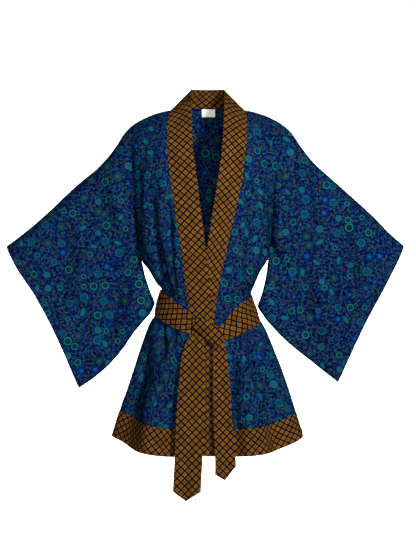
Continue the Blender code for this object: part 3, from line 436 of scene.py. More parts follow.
def smooth(at, places, values):
    """Reads a smooth curve through rising places that never overshoots the values."""
    step = np.diff(places)
    slope = np.diff(values) / step
    tangent = np.zeros(len(values))
    tangent[0] = slope[0]
    tangent[-1] = slope[-1]
    same_way = slope[:-1] * slope[1:] > 0
    both = np.where(same_way, slope[:-1] + slope[1:], 1)
    tangent[1:-1] = np.where(same_way, 2 * slope[:-1] * slope[1:] / both, 0)
    at = np.clip(at, places[0], places[-1])
    i = np.clip(np.searchsorted(places, at) - 1, 0, len(step) - 1)
    t = (at - places[i]) / step[i]
    rise = values[i] * (1 + 2 * t) * (1 - t) ** 2 + values[i + 1] * t * t * (3 - 2 * t)
    bend = tangent[i] * t * (1 - t) ** 2 - tangent[i + 1] * t * t * (1 - t)
    return rise + step[i] * bend


def read(table, key, name, at):
    """Reads one column of a table at any place along its key column."""
    places = table[key]
    values = table[name]
    if places[0] > places[-1]:
        places = places[::-1]
        values = values[::-1]
    return smooth(at, places, values)


def ease(t):
    """Runs from 0 to 1 with soft ends."""
    t = np.clip(t, 0, 1)
    return t * t * (3 - 2 * t)


def quarter_round(t):
    """Rises steeply from 0 and levels out at 1, as a quarter circle does."""
    return np.sqrt(1 - (1 - np.clip(t, 0, 1)) ** 2)


print("a tenth of the way along, a soft step has risen to", round(float(ease(0.1)), 3))
print("and a quarter circle to", round(float(quarter_round(0.1)), 3))

# %% [markdown]
# ## The body's measures
#
# The first table gives the body from the shoulder to the hem: half widths and heights of its two sides, the
# heights of its middle in front and behind, and its depths. The others give the neck band's two edges on
# each front, how far the band stands off at the neck, and the neck seen from the side.

# %% Body tables
BODY = columns(
    "left_x left_z right_x right_z front_z back_z front_deep back_deep",
    (0.191, -0.041, 0.190, -0.039, 0.004, 0.004, 0.099, 0.094),  # shoulder line
    (0.189, -0.090, 0.181, -0.090, -0.060, -0.060, 0.104, 0.102),
    (0.186, -0.165, 0.170, -0.165, -0.150, -0.150, 0.112, 0.109),
    (0.181, -0.262, 0.161, -0.262, -0.262, -0.262, 0.118, 0.110),
    (0.171, -0.340, 0.157, -0.335, -0.350, -0.345, 0.116, 0.106),
    (0.166, -0.372, 0.153, -0.367, -0.385, -0.378, 0.113, 0.103),  # armpit
    (0.146, -0.401, 0.131, -0.404, -0.420, -0.401, 0.109, 0.099),
    (0.129, -0.430, 0.118, -0.434, -0.455, -0.426, 0.104, 0.094),
    (0.1145, -0.450, 0.107, -0.464, -0.490, -0.452, 0.098, 0.088),  # top of the sash
    (0.1275, -0.506, 0.122, -0.514, -0.548, -0.512, 0.098, 0.088),  # foot of the sash
    (0.143, -0.530, 0.137, -0.534, -0.575, -0.538, 0.104, 0.094),
    (0.163, -0.582, 0.160, -0.584, -0.625, -0.592, 0.114, 0.105),
    (0.199, -0.692, 0.201, -0.692, -0.730, -0.704, 0.132, 0.124),
    (0.219, -0.748, 0.219, -0.750, -0.782, -0.764, 0.140, 0.133),  # hem band seam
    (0.239, -0.812, 0.237, -0.806, -0.847, -0.829, 0.148, 0.142),  # hem
)
SHOULDER, ARMPIT, HEM_SEAM, HEM = BODY["left_z"][[0, 5, 13, 14]]

# Seam and free edge of the neck band down each front, by the height of the front's middle. The band on the
# viewer's left lies on top, the other one passes under it below the V.
BAND = columns(
    "z top_seam top_free low_seam low_free",
    (0.004, -0.092, -0.041, 0.092, 0.041),
    (-0.020, -0.098, -0.039, 0.097, 0.040),
    (-0.060, -0.098, -0.037, 0.097, 0.038),
    (-0.110, -0.097, -0.034, 0.092, 0.034),
    (-0.190, -0.089, -0.024, 0.083, 0.023),
    (-0.270, -0.077, -0.014, 0.065, 0.010),
    (-0.357, -0.064, -0.003, 0.046, -0.004),
    (-0.420, -0.057, 0.004, 0.032, -0.020),
    (-0.465, -0.050, 0.009, 0.024, -0.032),
    (-0.505, -0.047, 0.013, 0.018, -0.041),
    (-0.560, -0.045, 0.015, 0.015, -0.044),
    (-0.710, -0.045, 0.014, 0.014, -0.044),
    (-0.847, -0.044, 0.014, 0.014, -0.044),
)

# How far the band's free edge stands off the fronts near the neck, by the height of the front's middle.
BAND_STAND = columns(
    "z back up",
    (0.004, -0.010, 0.0285),
    (-0.020, -0.003, 0.016),
    (-0.060, 0.000, 0.005),
    (-0.120, 0.000, 0.000),
    (-0.847, 0.000, 0.000),
)

# The neck from the side, where the shoulder meets it, to the middle of the back: the seam and free edge of
# the band.
NECK = columns(
    "seam_x seam_y seam_z free_x free_y free_z",
    (0.092, 0.000, 0.000, 0.041, -0.010, 0.032),
    (0.089, 0.030, 0.004, 0.042, 0.018, 0.048),
    (0.075, 0.058, 0.009, 0.041, 0.044, 0.056),
    (0.050, 0.078, 0.012, 0.030, 0.058, 0.058),
    (0.025, 0.086, 0.013, 0.015, 0.062, 0.058),
    (0.000, 0.088, 0.013, 0.000, 0.063, 0.058),
)
print("robe from shoulder to hem in cm:", round((SHOULDER - BODY["front_z"][-1]) * 100, 1))

# %% [markdown]
# ## The sleeves' and the sash's measures
#
# A kimono sleeve is a wide flat bag, folded along its top, with its edge below the armhole sewn shut. Its
# outline is given as seen from the front. The sash is given by the heights of its edges round the waist,
# and its two hanging ends by their edges at each height.

# %% Sleeve and sash tables
SLEEVE_SIDES = "along left_x left_z right_x right_z"
SLEEVE_TOP = columns(
    SLEEVE_SIDES,
    (0.00, -0.191, -0.041, 0.190, -0.039),
    (0.05, -0.210, -0.062, 0.209, -0.057),
    (0.12, -0.230, -0.094, 0.232, -0.091),
    (0.26, -0.269, -0.140, 0.264, -0.131),
    (0.42, -0.328, -0.190, 0.318, -0.180),
    (0.70, -0.410, -0.267, 0.413, -0.266),
    (0.86, -0.456, -0.306, 0.451, -0.305),
    (1.00, -0.502, -0.341, 0.490, -0.340),
)
SLEEVE_FOOT = columns(
    SLEEVE_SIDES,
    (0.00, -0.131, -0.482, 0.1245, -0.491),
    (0.09, -0.140, -0.503, 0.141, -0.516),
    (0.20, -0.157, -0.524, 0.169, -0.549),
    (0.36, -0.184, -0.556, 0.198, -0.578),
    (0.52, -0.212, -0.597, 0.226, -0.602),
    (0.72, -0.250, -0.640, 0.262, -0.630),
    (0.86, -0.284, -0.669, 0.297, -0.658),
    (1.00, -0.322, -0.695, 0.326, -0.680),
)
SLEEVE_CUFF = columns(
    SLEEVE_SIDES,
    (0.00, -0.502, -0.341, 0.490, -0.340),
    (0.15, -0.470, -0.400, 0.465, -0.391),
    (0.33, -0.431, -0.460, 0.433, -0.455),
    (0.52, -0.392, -0.535, 0.398, -0.523),
    (0.76, -0.356, -0.614, 0.361, -0.603),
    (1.00, -0.322, -0.695, 0.326, -0.680),
)
SLEEVE_INNER = columns(
    SLEEVE_SIDES,
    (0.00, -0.166, -0.372, 0.153, -0.367),
    (0.40, -0.156, -0.415, 0.146, -0.416),
    (0.75, -0.143, -0.453, 0.136, -0.458),
    (1.00, -0.131, -0.482, 0.1245, -0.491),
)

# The sash round the waist: degrees from the viewer's left side through the front, and its two edges.
SASH = columns(
    "degrees top_z foot_z",
    (0, -0.449, -0.507),
    (20, -0.457, -0.5165),
    (38, -0.467, -0.529),
    (60, -0.489, -0.546),
    (72, -0.507, -0.553),
    (82, -0.521, -0.560),
    (92, -0.531, -0.568),
    (101, -0.535, -0.574),
    (111, -0.519, -0.567),
    (122, -0.498, -0.558),
    (136, -0.481, -0.547),
    (158, -0.470, -0.535),
    (180, -0.463, -0.519),
    (225, -0.457, -0.518),
    (270, -0.454, -0.516),
    (315, -0.452, -0.513),
    (360, -0.449, -0.507),
)

# The hanging ends of the sash: height, left and right edge, and how far they stand off the robe.
LONG_END = columns(
    "z left_x right_x off",
    (-0.540, -0.020, 0.000, 0.0080),
    (-0.557, -0.036, -0.006, 0.0080),
    (-0.572, -0.050, -0.009, 0.0080),
    (-0.592, -0.058, -0.009, 0.0065),
    (-0.625, -0.065, -0.006, 0.0060),
    (-0.662, -0.068, -0.004, 0.0060),
    (-0.713, -0.073, -0.004, 0.0060),
    (-0.789, -0.077, -0.010, 0.0060),
    (-0.847, -0.079, -0.012, 0.0060),
    (-0.923, -0.083, -0.016, 0.0060),
)
LONG_TIP = (-0.052, -0.954)
LONG_CORNERS = (-0.931, -0.931)
SHORT_END = columns(
    "z left_x right_x off",
    (-0.553, 0.010, 0.030, 0.0080),
    (-0.570, 0.012, 0.038, 0.0080),
    (-0.592, 0.013, 0.044, 0.0070),
    (-0.619, 0.013, 0.049, 0.0060),
    (-0.656, 0.013, 0.052, 0.0060),
    (-0.698, 0.013, 0.056, 0.0060),
    (-0.758, 0.014, 0.059, 0.0060),
    (-0.803, 0.016, 0.064, 0.0060),
    (-0.862, 0.018, 0.068, 0.0060),
)
SHORT_TIP = (0.042, -0.904)
SHORT_CORNERS = (-0.890, -0.870)
cuff_deep = SLEEVE_CUFF["left_z"][0] - SLEEVE_CUFF["left_z"][-1]
print("sleeve depth at the cuff in cm:", round(cuff_deep * 100, 1))

# %% [markdown]
# ## Folds
#
# Folds are placed where the cloth is pulled: they hang from the shoulder, run from the armpit to the sash,
# and fan out below it. Each is one row: its two ends as seen from the front, its half width, and how far it
# stands out, with a minus sign for a trough. The broad folds come first and the finer creases after them.

# %% Broad folds
FOLD_MEASURES = "x0 z0 x1 z1 wide out"
FRONT_FOLDS = columns(
    FOLD_MEASURES,
    (-0.172, -0.100, -0.168, -0.310, 0.014, -0.0060),
    (-0.152, -0.090, -0.149, -0.330, 0.014, 0.0050),
    (-0.140, -0.180, -0.133, -0.370, 0.011, -0.0075),
    (-0.127, -0.320, -0.099, -0.455, 0.012, -0.0100),
    (-0.112, -0.270, -0.090, -0.440, 0.011, 0.0060),
    (-0.101, -0.205, -0.086, -0.390, 0.010, -0.0070),
    (-0.110, -0.060, -0.118, -0.220, 0.016, 0.0035),
    (-0.066, -0.560, -0.089, -0.845, 0.016, -0.0170),
    (-0.083, -0.545, -0.106, -0.700, 0.012, 0.0060),
    (-0.101, -0.545, -0.118, -0.640, 0.009, -0.0050),
    (-0.104, -0.540, -0.148, -0.845, 0.026, 0.0110),
    (-0.140, -0.540, -0.224, -0.845, 0.044, -0.0150),
    (0.152, -0.110, 0.146, -0.310, 0.014, -0.0055),
    (0.136, -0.100, 0.130, -0.340, 0.015, 0.0045),
    (0.112, -0.250, 0.091, -0.450, 0.014, -0.0050),
    (0.090, -0.300, 0.070, -0.470, 0.012, 0.0045),
    (0.074, -0.565, 0.088, -0.740, 0.012, 0.0050),
    (0.088, -0.555, 0.128, -0.700, 0.011, -0.0075),
    (0.096, -0.545, 0.126, -0.845, 0.028, 0.0075),
    (0.058, -0.600, 0.074, -0.847, 0.015, -0.0165),
    (0.118, -0.545, 0.176, -0.845, 0.024, -0.0120),
    (0.136, -0.545, 0.226, -0.845, 0.024, 0.0090),
)
BACK_FOLDS = columns(
    FOLD_MEASURES,
    (-0.165, -0.090, -0.150, -0.340, 0.016, -0.0060),
    (-0.135, -0.080, -0.120, -0.420, 0.016, 0.0050),
    (-0.095, -0.180, -0.075, -0.445, 0.014, -0.0055),
    (-0.050, -0.100, -0.040, -0.440, 0.016, 0.0045),
    (0.005, -0.160, -0.005, -0.445, 0.016, -0.0050),
    (0.055, -0.120, 0.045, -0.440, 0.016, 0.0050),
    (0.098, -0.200, 0.078, -0.445, 0.014, -0.0055),
    (0.130, -0.090, 0.112, -0.420, 0.016, 0.0045),
    (0.152, -0.100, 0.140, -0.340, 0.014, -0.0060),
    (-0.105, -0.530, -0.170, -0.829, 0.020, -0.0080),
    (-0.088, -0.530, -0.130, -0.829, 0.022, 0.0085),
    (-0.060, -0.530, -0.082, -0.829, 0.018, -0.0085),
    (-0.030, -0.530, -0.038, -0.829, 0.020, 0.0085),
    (0.002, -0.530, 0.008, -0.829, 0.018, -0.0090),
    (0.032, -0.530, 0.050, -0.829, 0.020, 0.0085),
    (0.062, -0.530, 0.094, -0.829, 0.018, -0.0080),
    (0.088, -0.530, 0.136, -0.829, 0.022, 0.0085),
    (0.108, -0.530, 0.175, -0.829, 0.018, -0.0070),
)
SLEEVE_FOLDS = columns(
    FOLD_MEASURES,
    (-0.262, -0.160, -0.283, -0.430, 0.018, -0.0060),
    (-0.232, -0.130, -0.215, -0.330, 0.018, 0.0060),
    (-0.205, -0.110, -0.196, -0.380, 0.014, -0.0055),
    (-0.300, -0.220, -0.330, -0.520, 0.022, 0.0060),
    (-0.350, -0.260, -0.372, -0.500, 0.018, -0.0040),
    (-0.200, -0.380, -0.240, -0.560, 0.016, -0.0050),
    (-0.172, -0.400, -0.200, -0.540, 0.014, 0.0045),
    (-0.400, -0.320, -0.420, -0.440, 0.018, 0.0040),
    (0.232, -0.120, 0.262, -0.220, 0.016, -0.0060),
    (0.215, -0.130, 0.200, -0.330, 0.016, 0.0055),
    (0.196, -0.140, 0.183, -0.350, 0.012, -0.0050),
    (0.232, -0.390, 0.285, -0.640, 0.015, -0.0060),
    (0.262, -0.330, 0.318, -0.620, 0.018, 0.0055),
    (0.190, -0.390, 0.232, -0.560, 0.014, 0.0045),
    (0.330, -0.260, 0.360, -0.470, 0.018, -0.0045),
    (0.390, -0.320, 0.405, -0.450, 0.018, 0.0040),
)
print("broad folds:", len(FRONT_FOLDS["x0"]), len(BACK_FOLDS["x0"]), len(SLEEVE_FOLDS["x0"]))

# %% [markdown]
# ## Fine creases
#
# Washed viscose also takes many small creases beside its broad folds. They gather where the cloth is drawn
# in, at the armpits and above and below the sash, and a few shallow ones run across the neck band.

# %% Fine creases
FRONT_CREASES = columns(
    FOLD_MEASURES,
    (-0.146, -0.170, -0.134, -0.285, 0.0065, -0.0090),
    (-0.136, -0.235, -0.119, -0.365, 0.0060, -0.0120),
    (-0.123, -0.325, -0.092, -0.475, 0.0060, -0.0160),
    (-0.094, -0.255, -0.089, -0.370, 0.0050, -0.0090),
    (-0.091, -0.335, -0.078, -0.455, 0.0055, -0.0120),
    (-0.155, -0.080, -0.157, -0.160, 0.0060, -0.0060),
    (-0.113, -0.515, -0.105, -0.615, 0.0050, -0.0130),
    (-0.081, -0.525, -0.078, -0.605, 0.0045, -0.0110),
    (-0.057, -0.560, -0.078, -0.760, 0.0070, -0.0080),
    (-0.178, -0.640, -0.197, -0.829, 0.0120, -0.0030),
    (0.004, -0.480, 0.002, -0.880, 0.0110, -0.0150),
    (-0.094, -0.080, -0.046, -0.122, 0.0100, -0.0020),
    (-0.094, -0.160, -0.038, -0.212, 0.0110, -0.0026),
    (-0.086, -0.242, -0.028, -0.298, 0.0110, -0.0024),
    (-0.070, -0.322, -0.014, -0.376, 0.0100, -0.0022),
    (0.094, -0.116, 0.044, -0.168, 0.0100, -0.0020),
    (0.090, -0.206, 0.034, -0.262, 0.0110, -0.0026),
    (0.074, -0.292, 0.020, -0.348, 0.0110, -0.0024),
    (0.079, -0.525, 0.081, -0.595, 0.0040, -0.0130),
    (0.091, -0.520, 0.114, -0.640, 0.0048, -0.0130),
    (0.107, -0.580, 0.126, -0.715, 0.0075, -0.0090),
    (0.046, -0.560, 0.050, -0.640, 0.0050, -0.0060),
    (-0.171, -0.255, -0.138, -0.315, 0.006, -0.0030),
    (-0.160, -0.285, -0.128, -0.345, 0.006, 0.0022),
    (-0.165, -0.345, -0.130, -0.400, 0.006, -0.0028),
    (-0.150, -0.120, -0.158, -0.240, 0.007, -0.0020),
    (-0.125, -0.150, -0.128, -0.290, 0.007, -0.0018),
    (-0.105, -0.330, -0.080, -0.440, 0.005, -0.0025),
    (-0.122, -0.390, -0.104, -0.462, 0.004, -0.0030),
    (-0.090, -0.400, -0.074, -0.474, 0.004, -0.0028),
    (-0.081, -0.350, -0.070, -0.470, 0.005, 0.0020),
    (-0.074, -0.556, -0.088, -0.640, 0.005, -0.0032),
    (-0.092, -0.550, -0.100, -0.610, 0.004, -0.0030),
    (-0.108, -0.546, -0.124, -0.650, 0.005, -0.0035),
    (-0.122, -0.543, -0.146, -0.630, 0.005, 0.0025),
    (-0.135, -0.560, -0.170, -0.700, 0.007, -0.0028),
    (-0.181, -0.690, -0.170, -0.775, 0.010, -0.0035),
    (-0.148, -0.640, -0.160, -0.800, 0.009, 0.0025),
    (-0.100, -0.700, -0.104, -0.847, 0.008, -0.0022),
    (-0.118, -0.745, -0.122, -0.847, 0.007, 0.0020),
    (0.159, -0.225, 0.154, -0.357, 0.007, -0.0030),
    (0.140, -0.260, 0.122, -0.345, 0.006, -0.0022),
    (0.150, -0.330, 0.118, -0.400, 0.006, -0.0030),
    (0.125, -0.360, 0.102, -0.445, 0.005, 0.0022),
    (0.100, -0.350, 0.084, -0.462, 0.005, -0.0025),
    (0.112, -0.400, 0.094, -0.462, 0.004, -0.0028),
    (0.075, -0.400, 0.062, -0.490, 0.005, -0.0024),
    (0.078, -0.560, 0.092, -0.650, 0.005, -0.0030),
    (0.096, -0.553, 0.118, -0.640, 0.005, 0.0025),
    (0.108, -0.548, 0.140, -0.660, 0.006, -0.0035),
    (0.118, -0.543, 0.150, -0.610, 0.005, 0.0022),
    (0.125, -0.540, 0.180, -0.700, 0.007, -0.0028),
    (0.150, -0.660, 0.176, -0.800, 0.010, 0.0028),
    (0.110, -0.720, 0.124, -0.847, 0.008, -0.0028),
    (0.070, -0.680, 0.082, -0.760, 0.006, 0.0020),
)
BACK_CREASES = columns(
    FOLD_MEASURES,
    (-0.150, -0.200, -0.122, -0.330, 0.007, -0.0028),
    (-0.112, -0.260, -0.094, -0.430, 0.006, 0.0024),
    (-0.062, -0.240, -0.058, -0.440, 0.006, -0.0026),
    (-0.022, -0.300, -0.024, -0.450, 0.006, 0.0020),
    (0.030, -0.220, 0.022, -0.430, 0.007, -0.0024),
    (0.076, -0.280, 0.066, -0.445, 0.006, 0.0022),
    (0.116, -0.300, 0.098, -0.430, 0.006, -0.0028),
    (0.146, -0.180, 0.128, -0.310, 0.007, 0.0020),
    (-0.116, -0.535, -0.156, -0.680, 0.007, -0.0030),
    (-0.074, -0.540, -0.096, -0.700, 0.006, -0.0028),
    (-0.046, -0.530, -0.054, -0.640, 0.005, 0.0024),
    (-0.014, -0.540, -0.016, -0.720, 0.007, -0.0026),
    (0.018, -0.530, 0.026, -0.650, 0.005, -0.0028),
    (0.048, -0.540, 0.066, -0.700, 0.006, 0.0024),
    (0.078, -0.530, 0.110, -0.660, 0.006, -0.0030),
    (0.100, -0.535, 0.150, -0.720, 0.007, 0.0024),
    (-0.150, -0.640, -0.176, -0.800, 0.010, 0.0026),
    (0.152, -0.650, 0.180, -0.790, 0.010, -0.0030),
)
SLEEVE_CREASES = columns(
    FOLD_MEASURES,
    (-0.246, -0.178, -0.200, -0.300, 0.008, 0.0030),
    (-0.258, -0.200, -0.222, -0.330, 0.008, -0.0025),
    (-0.315, -0.240, -0.345, -0.400, 0.010, -0.0022),
    (-0.360, -0.300, -0.400, -0.420, 0.010, 0.0022),
    (-0.290, -0.440, -0.310, -0.600, 0.012, -0.0030),
    (-0.240, -0.470, -0.262, -0.600, 0.010, 0.0022),
    (-0.190, -0.440, -0.215, -0.550, 0.008, -0.0025),
    (0.214, -0.150, 0.246, -0.290, 0.008, -0.0025),
    (0.250, -0.170, 0.282, -0.300, 0.010, 0.0025),
    (0.300, -0.230, 0.330, -0.400, 0.010, -0.0025),
    (0.350, -0.290, 0.385, -0.430, 0.010, 0.0020),
    (0.290, -0.420, 0.320, -0.600, 0.012, -0.0028),
    (0.205, -0.420, 0.225, -0.540, 0.008, -0.0028),
    (0.182, -0.400, 0.196, -0.500, 0.007, 0.0020),
)

# A sleeve's two layers hang together, so its broadest waves move both of them back or forward.
SLEEVE_SWAYS = columns(
    FOLD_MEASURES,
    (-0.286, -0.130, -0.298, -0.450, 0.0140, -0.0085),
    (-0.248, -0.120, -0.228, -0.360, 0.0150, 0.0055),
    (-0.225, -0.420, -0.262, -0.620, 0.0260, -0.0110),
    (-0.138, -0.390, -0.200, -0.610, 0.0520, 0.0180),
    (-0.300, -0.420, -0.318, -0.760, 0.0200, -0.0050),
    (-0.330, -0.260, -0.372, -0.560, 0.0160, -0.0045),
    (0.238, -0.100, 0.264, -0.340, 0.0130, -0.0080),
    (0.178, -0.420, 0.296, -0.690, 0.0420, -0.0170),
    (0.296, -0.300, 0.345, -0.680, 0.0160, -0.0065),
    (0.360, -0.260, 0.400, -0.520, 0.0150, 0.0045),
)
print("fine creases:", len(FRONT_CREASES["x0"]), len(BACK_CREASES["x0"]), len(SLEEVE_CREASES["x0"]))

# %% [markdown]
# ## The rounded body
#
# Seen from above, the body is a rounded section whose front and back meet at the side seams and stay open
# at the armholes. These functions give the section's depth and the sweep of each row from the side to the
# middle. The rows are close together, so that fine creases keep their shape.

# %% Body functions
SHOULDER_ARCH = 0.110
SECTION_ROUND = 2.3
SECTION_SQUARE = 1.5
SWEEP_ROUND = 3
ARMHOLE_DEEP = 0.066
ARMHOLE_ROUND = 0.6
NO_LENGTH = 1e-7
ARM_ROWS = 76
LOWER_ROWS = 84
HEM_ROWS = 16
FRONT_COLUMNS = 68
BAND_COLUMNS = 16
NECK_COLUMNS = 30


def body(side, name, level):
    """A side's or the middle's measure at one level."""
    prefix = "left_" if side < 0 else "right_"
    column = name if name in BODY else prefix + name
    return read(BODY, "left_z", column, level)


def armhole_deep(level):
    """Half the depth of the armhole, from nothing at the shoulder to nothing at the armpit."""
    down = np.clip((SHOULDER - level) / (SHOULDER - ARMPIT), 0, 1)
    return ARMHOLE_DEEP * np.maximum(np.sin(math.pi * down ** (0.5 / ARMHOLE_ROUND)), 0) ** ARMHOLE_ROUND


def section(side_x, deep, edge_deep, x):
    """Depth across a rounded section that passes its side with the depth of the armhole there."""
    power = SECTION_ROUND
    half = side_x / (1 - (edge_deep / deep) ** power) ** (1 / power)
    return deep * np.maximum(1 - (np.abs(x) / half) ** power, 0) ** (1 / power)


def height(side_z, middle_z, side_x, x):
    """Height across a row that sweeps from its side to its middle."""
    return side_z + (middle_z - side_z) * (1 - np.minimum(np.abs(x) / side_x, 1) ** SWEEP_ROUND)


def layer_points(side, level, x, layer):
    """Points of the body's front or back layer at one level or at as many levels as places."""
    level_in = np.minimum(level, SHOULDER - NO_LENGTH)
    side_x = body(side, "x", level)
    deep = body(side, layer + "_deep", level) * quarter_round((SHOULDER - level_in) / SHOULDER_ARCH)
    y = section(side_x, deep, armhole_deep(level_in), x)
    z = height(body(side, "z", level), body(side, layer + "_z", level), side_x, x)
    return np.stack([x, -y if layer == "front" else y, z], -1)


def across(start, end, share, level):
    """Places from a side to a seam, even at the shoulder and closer to the side further down."""
    down = ease((SHOULDER - level) / (SHOULDER - ARMPIT))
    spread = (1 - down) * share + down * (1 - np.cos(share * math.pi / 2))
    return start + (end - start) * spread


def levels():
    """Heights of all rows at the viewer's left side: to the armpit, to the hem band, and down it."""
    arm = SHOULDER + (ARMPIT - SHOULDER) * (1 - np.cos(np.linspace(0, math.pi, ARM_ROWS + 1))) / 2
    lower = np.linspace(ARMPIT, HEM_SEAM, LOWER_ROWS + 1)[1:-1]
    hem = np.linspace(HEM_SEAM, HEM, HEM_ROWS + 1)
    return np.concatenate([arm, lower, hem])


LEVELS = levels()
HEM_SEAM_ROW = len(LEVELS) - 1 - HEM_ROWS
row_step = (ARMPIT - HEM_SEAM) / LOWER_ROWS
print("rows:", len(LEVELS), "about", round(row_step * 1000, 1), "mm apart below the armpit")

# %% [markdown]
# ## Pressing folds into cloth
#
# A fold moves the cloth along its own normal, in or out. A grid of points gives the normals, but not which
# side of the cloth is its outside, so four small tests tell that for the front, the back, a closed bag and
# a ring.

# %% Which side is out
NO_AREA = 1e-12


def faces_front(points, normals):
    """Above zero where the normals point out of the robe's front, on the whole."""
    return -normals[:, 1].sum()


def faces_back(points, normals):
    """Above zero where the normals point out of the robe's back, on the whole."""
    return normals[:, 1].sum()


def faces_away(points, normals):
    """Above zero where the normals point away from the points' own middle."""
    return ((points - points.mean(0)) * normals).sum()


def faces_from_axis(points, normals):
    """Above zero where the normals point away from the upright line through the neck."""
    return (points[:, :2] * normals[:, :2]).sum()


def outer_normals(grid, outward):
    """Unit normals of a grid of points, on that side of it for which the outward test is above zero."""
    down = np.gradient(grid, axis=0)
    along = np.gradient(grid, axis=1)
    normal = np.cross(down, along)
    normal = normal / np.maximum(np.linalg.norm(normal, axis=-1, keepdims=True), NO_AREA)
    if outward(grid.reshape(-1, 3), normal.reshape(-1, 3)) < 0:
        normal = -normal
    return normal


flat_square = np.stack(np.meshgrid([0.0, 1.0], [0.0], [0.0, 1.0]), -1)[0]
print("normal of an upright square, out of the front:", outer_normals(flat_square, faces_front)[0, 0])

# %% [markdown]
# ## Where folds are free
#
# A fold is held back where the cloth is sewn down or pressed flat: at the shoulder, along the side seams
# and armholes, and under the sash. A hold is 0 there and 1 where the cloth is free, with a soft step
# between.

# %% Folds and holds
FOLD_ENDS = 0.30
FOLD_DEEPER = 1.35
HEM_RUN_ON = 0.48
SIDE_FOLD_EDGE = 0.011
TOP_FOLD_EDGE = 0.036
SASH_PRESS = 0.004
SASH_FREE_ABOVE = 0.035
SASH_FREE_BELOW = 0.045


def fold_heights(folds, x, z):
    """How far the folds stand out at each place, seen from the front."""
    total = np.zeros_like(x)
    for x0, z0, x1, z1, wide, out in zip(*folds.values()):
        run = np.array([x1 - x0, z1 - z0])
        length = np.linalg.norm(run)
        t = ((x - x0) * run[0] + (z - z0) * run[1]) / length ** 2
        aside = ((x - x0) * run[1] - (z - z0) * run[0]) / length
        fade = ease(t / FOLD_ENDS) * ease((1 - t) / FOLD_ENDS)
        total += out * fade * np.exp(-(aside / wide) ** 2)
    return total


def open_ended_folds(folds, x, z, hem_z):
    """As fold_heights, but a fold that reaches the hem keeps its full height there."""
    run_on = {name: values.copy() for name, values in folds.items()}
    reach = folds["z1"] <= hem_z
    for end in ("x", "z"):
        run_on[end + "1"][reach] += HEM_RUN_ON * (folds[end + "1"] - folds[end + "0"])[reach]
    return fold_heights(run_on, x, z)


def folded(grid, folds, outward, hold):
    """Moves a grid's points along its normals by the folds, but not where the hold is 0."""
    out = FOLD_DEEPER * open_ended_folds(folds, grid[..., 0], grid[..., 2], BODY["back_z"][-1])
    return grid + outer_normals(grid, outward) * (out * hold)[..., None]


def creased(grid, creases, outward, side_x):
    """Presses creases into a body grid. Troughs run on under the sash, ridges fade before it."""
    out = open_ended_folds(creases, grid[..., 0], grid[..., 2], BODY["back_z"][-1])
    out = np.minimum(out, 0) * side_hold(grid, side_x) + np.maximum(out, 0) * body_hold(grid, side_x)
    return grid + outer_normals(grid, outward) * out[..., None]


def waist_hold(z, top, foot):
    """0 under the sash, 1 a little above and below it."""
    above = ease((z - top + SASH_PRESS) / SASH_FREE_ABOVE)
    below = ease((foot - z + SASH_PRESS) / SASH_FREE_BELOW)
    return np.maximum(above, below)


def sash_edges(degrees):
    """Heights of the sash's two edges."""
    return read(SASH, "degrees", "top_z", degrees), read(SASH, "degrees", "foot_z", degrees)


def degrees_round(point, side_x):
    """Degrees from the viewer's left side through the front, for points on the body."""
    share = np.clip(np.abs(point[..., 0]) / side_x, 0, 1) ** (SECTION_ROUND / 2)
    quarter = np.degrees(np.arccos(share))
    front = np.where(point[..., 0] < 0, quarter, 180 - quarter)
    return np.where(point[..., 1] <= 0, front, 360 - front)


def side_hold(grid, side_x):
    """Where folds are free of the shoulder, the sides and the armholes."""
    below_shoulder = ease((LEVELS[1] - LEVELS) / TOP_FOLD_EDGE)[:, None]
    from_side = ease((side_x - np.abs(grid[..., 0])) / SIDE_FOLD_EDGE)
    return below_shoulder * from_side


def body_hold(grid, side_x):
    """Where the body's folds are free: away from the shoulder, the sides, the armholes and the sash."""
    top, foot = sash_edges(degrees_round(grid, side_x))
    return side_hold(grid, side_x) * waist_hold(grid[..., 2], top, foot)


print("edges of the sash at the middle of the front:", [round(float(z), 3) for z in sash_edges(90)])

# %% [markdown]
# ## Gathers at the sash
#
# Where the sash pulls the cloth together, it gathers in small troughs. They are too many to place by hand,
# so a seeded random table lays them out unevenly, the same in every run. They start under the sash and fan
# out, those below it more than those above.

# %% Gathers
GATHER_HALF_WAIST = 0.120
GATHER_SCATTER = (0.1, 0.9)
GATHER_REACH = (0.030, 0.085)
GATHER_WIDE = (0.0030, 0.0055)
GATHER_OUT = (-0.0030, -0.0010)
GATHER_UNDER_SASH = 0.022
GATHER_FAN_OVER = 0.06
GATHER_FANS = (0.10, 0.22)


def gathers(seed, count, degrees_from, degrees_to):
    """Small uneven troughs that run out from both edges of the sash."""
    chance = np.random.default_rng(seed)
    rows = []
    for place in (np.arange(count) + chance.uniform(*GATHER_SCATTER, count)) / count:
        degrees = degrees_from + (degrees_to - degrees_from) * place
        x = -GATHER_HALF_WAIST * math.cos(math.radians(degrees))
        for edge, way, fan in zip(sash_edges(degrees), (1, -1), GATHER_FANS):
            reach = chance.uniform(*GATHER_REACH)
            x_end = x * (1 + fan * reach / GATHER_FAN_OVER)
            wide = chance.uniform(*GATHER_WIDE)
            out = chance.uniform(*GATHER_OUT)
            rows.append((x, edge - way * GATHER_UNDER_SASH, x_end, edge + way * reach, wide, out))
    return columns(FOLD_MEASURES, *rows)


FRONT_GATHERS = gathers(11, 26, 8, 172)
BACK_GATHERS = gathers(12, 30, 188, 352)
print("gathers in front and behind:", len(FRONT_GATHERS["x0"]), len(BACK_GATHERS["x0"]))

# %% [markdown]
# ## The fronts
#
# Each front is made with its half of the neck band, row by row from the side seam to the band's free edge.
# The back comes later in the same rows, so that the pieces meet exactly at their seams. Only then are they
# parted into panel, neck band and hem band, as a maker would cut them. The viewer's right front passes
# under the other one, a few millimetres behind it, and the hem hangs a little fuller between the sides and
# the middle.

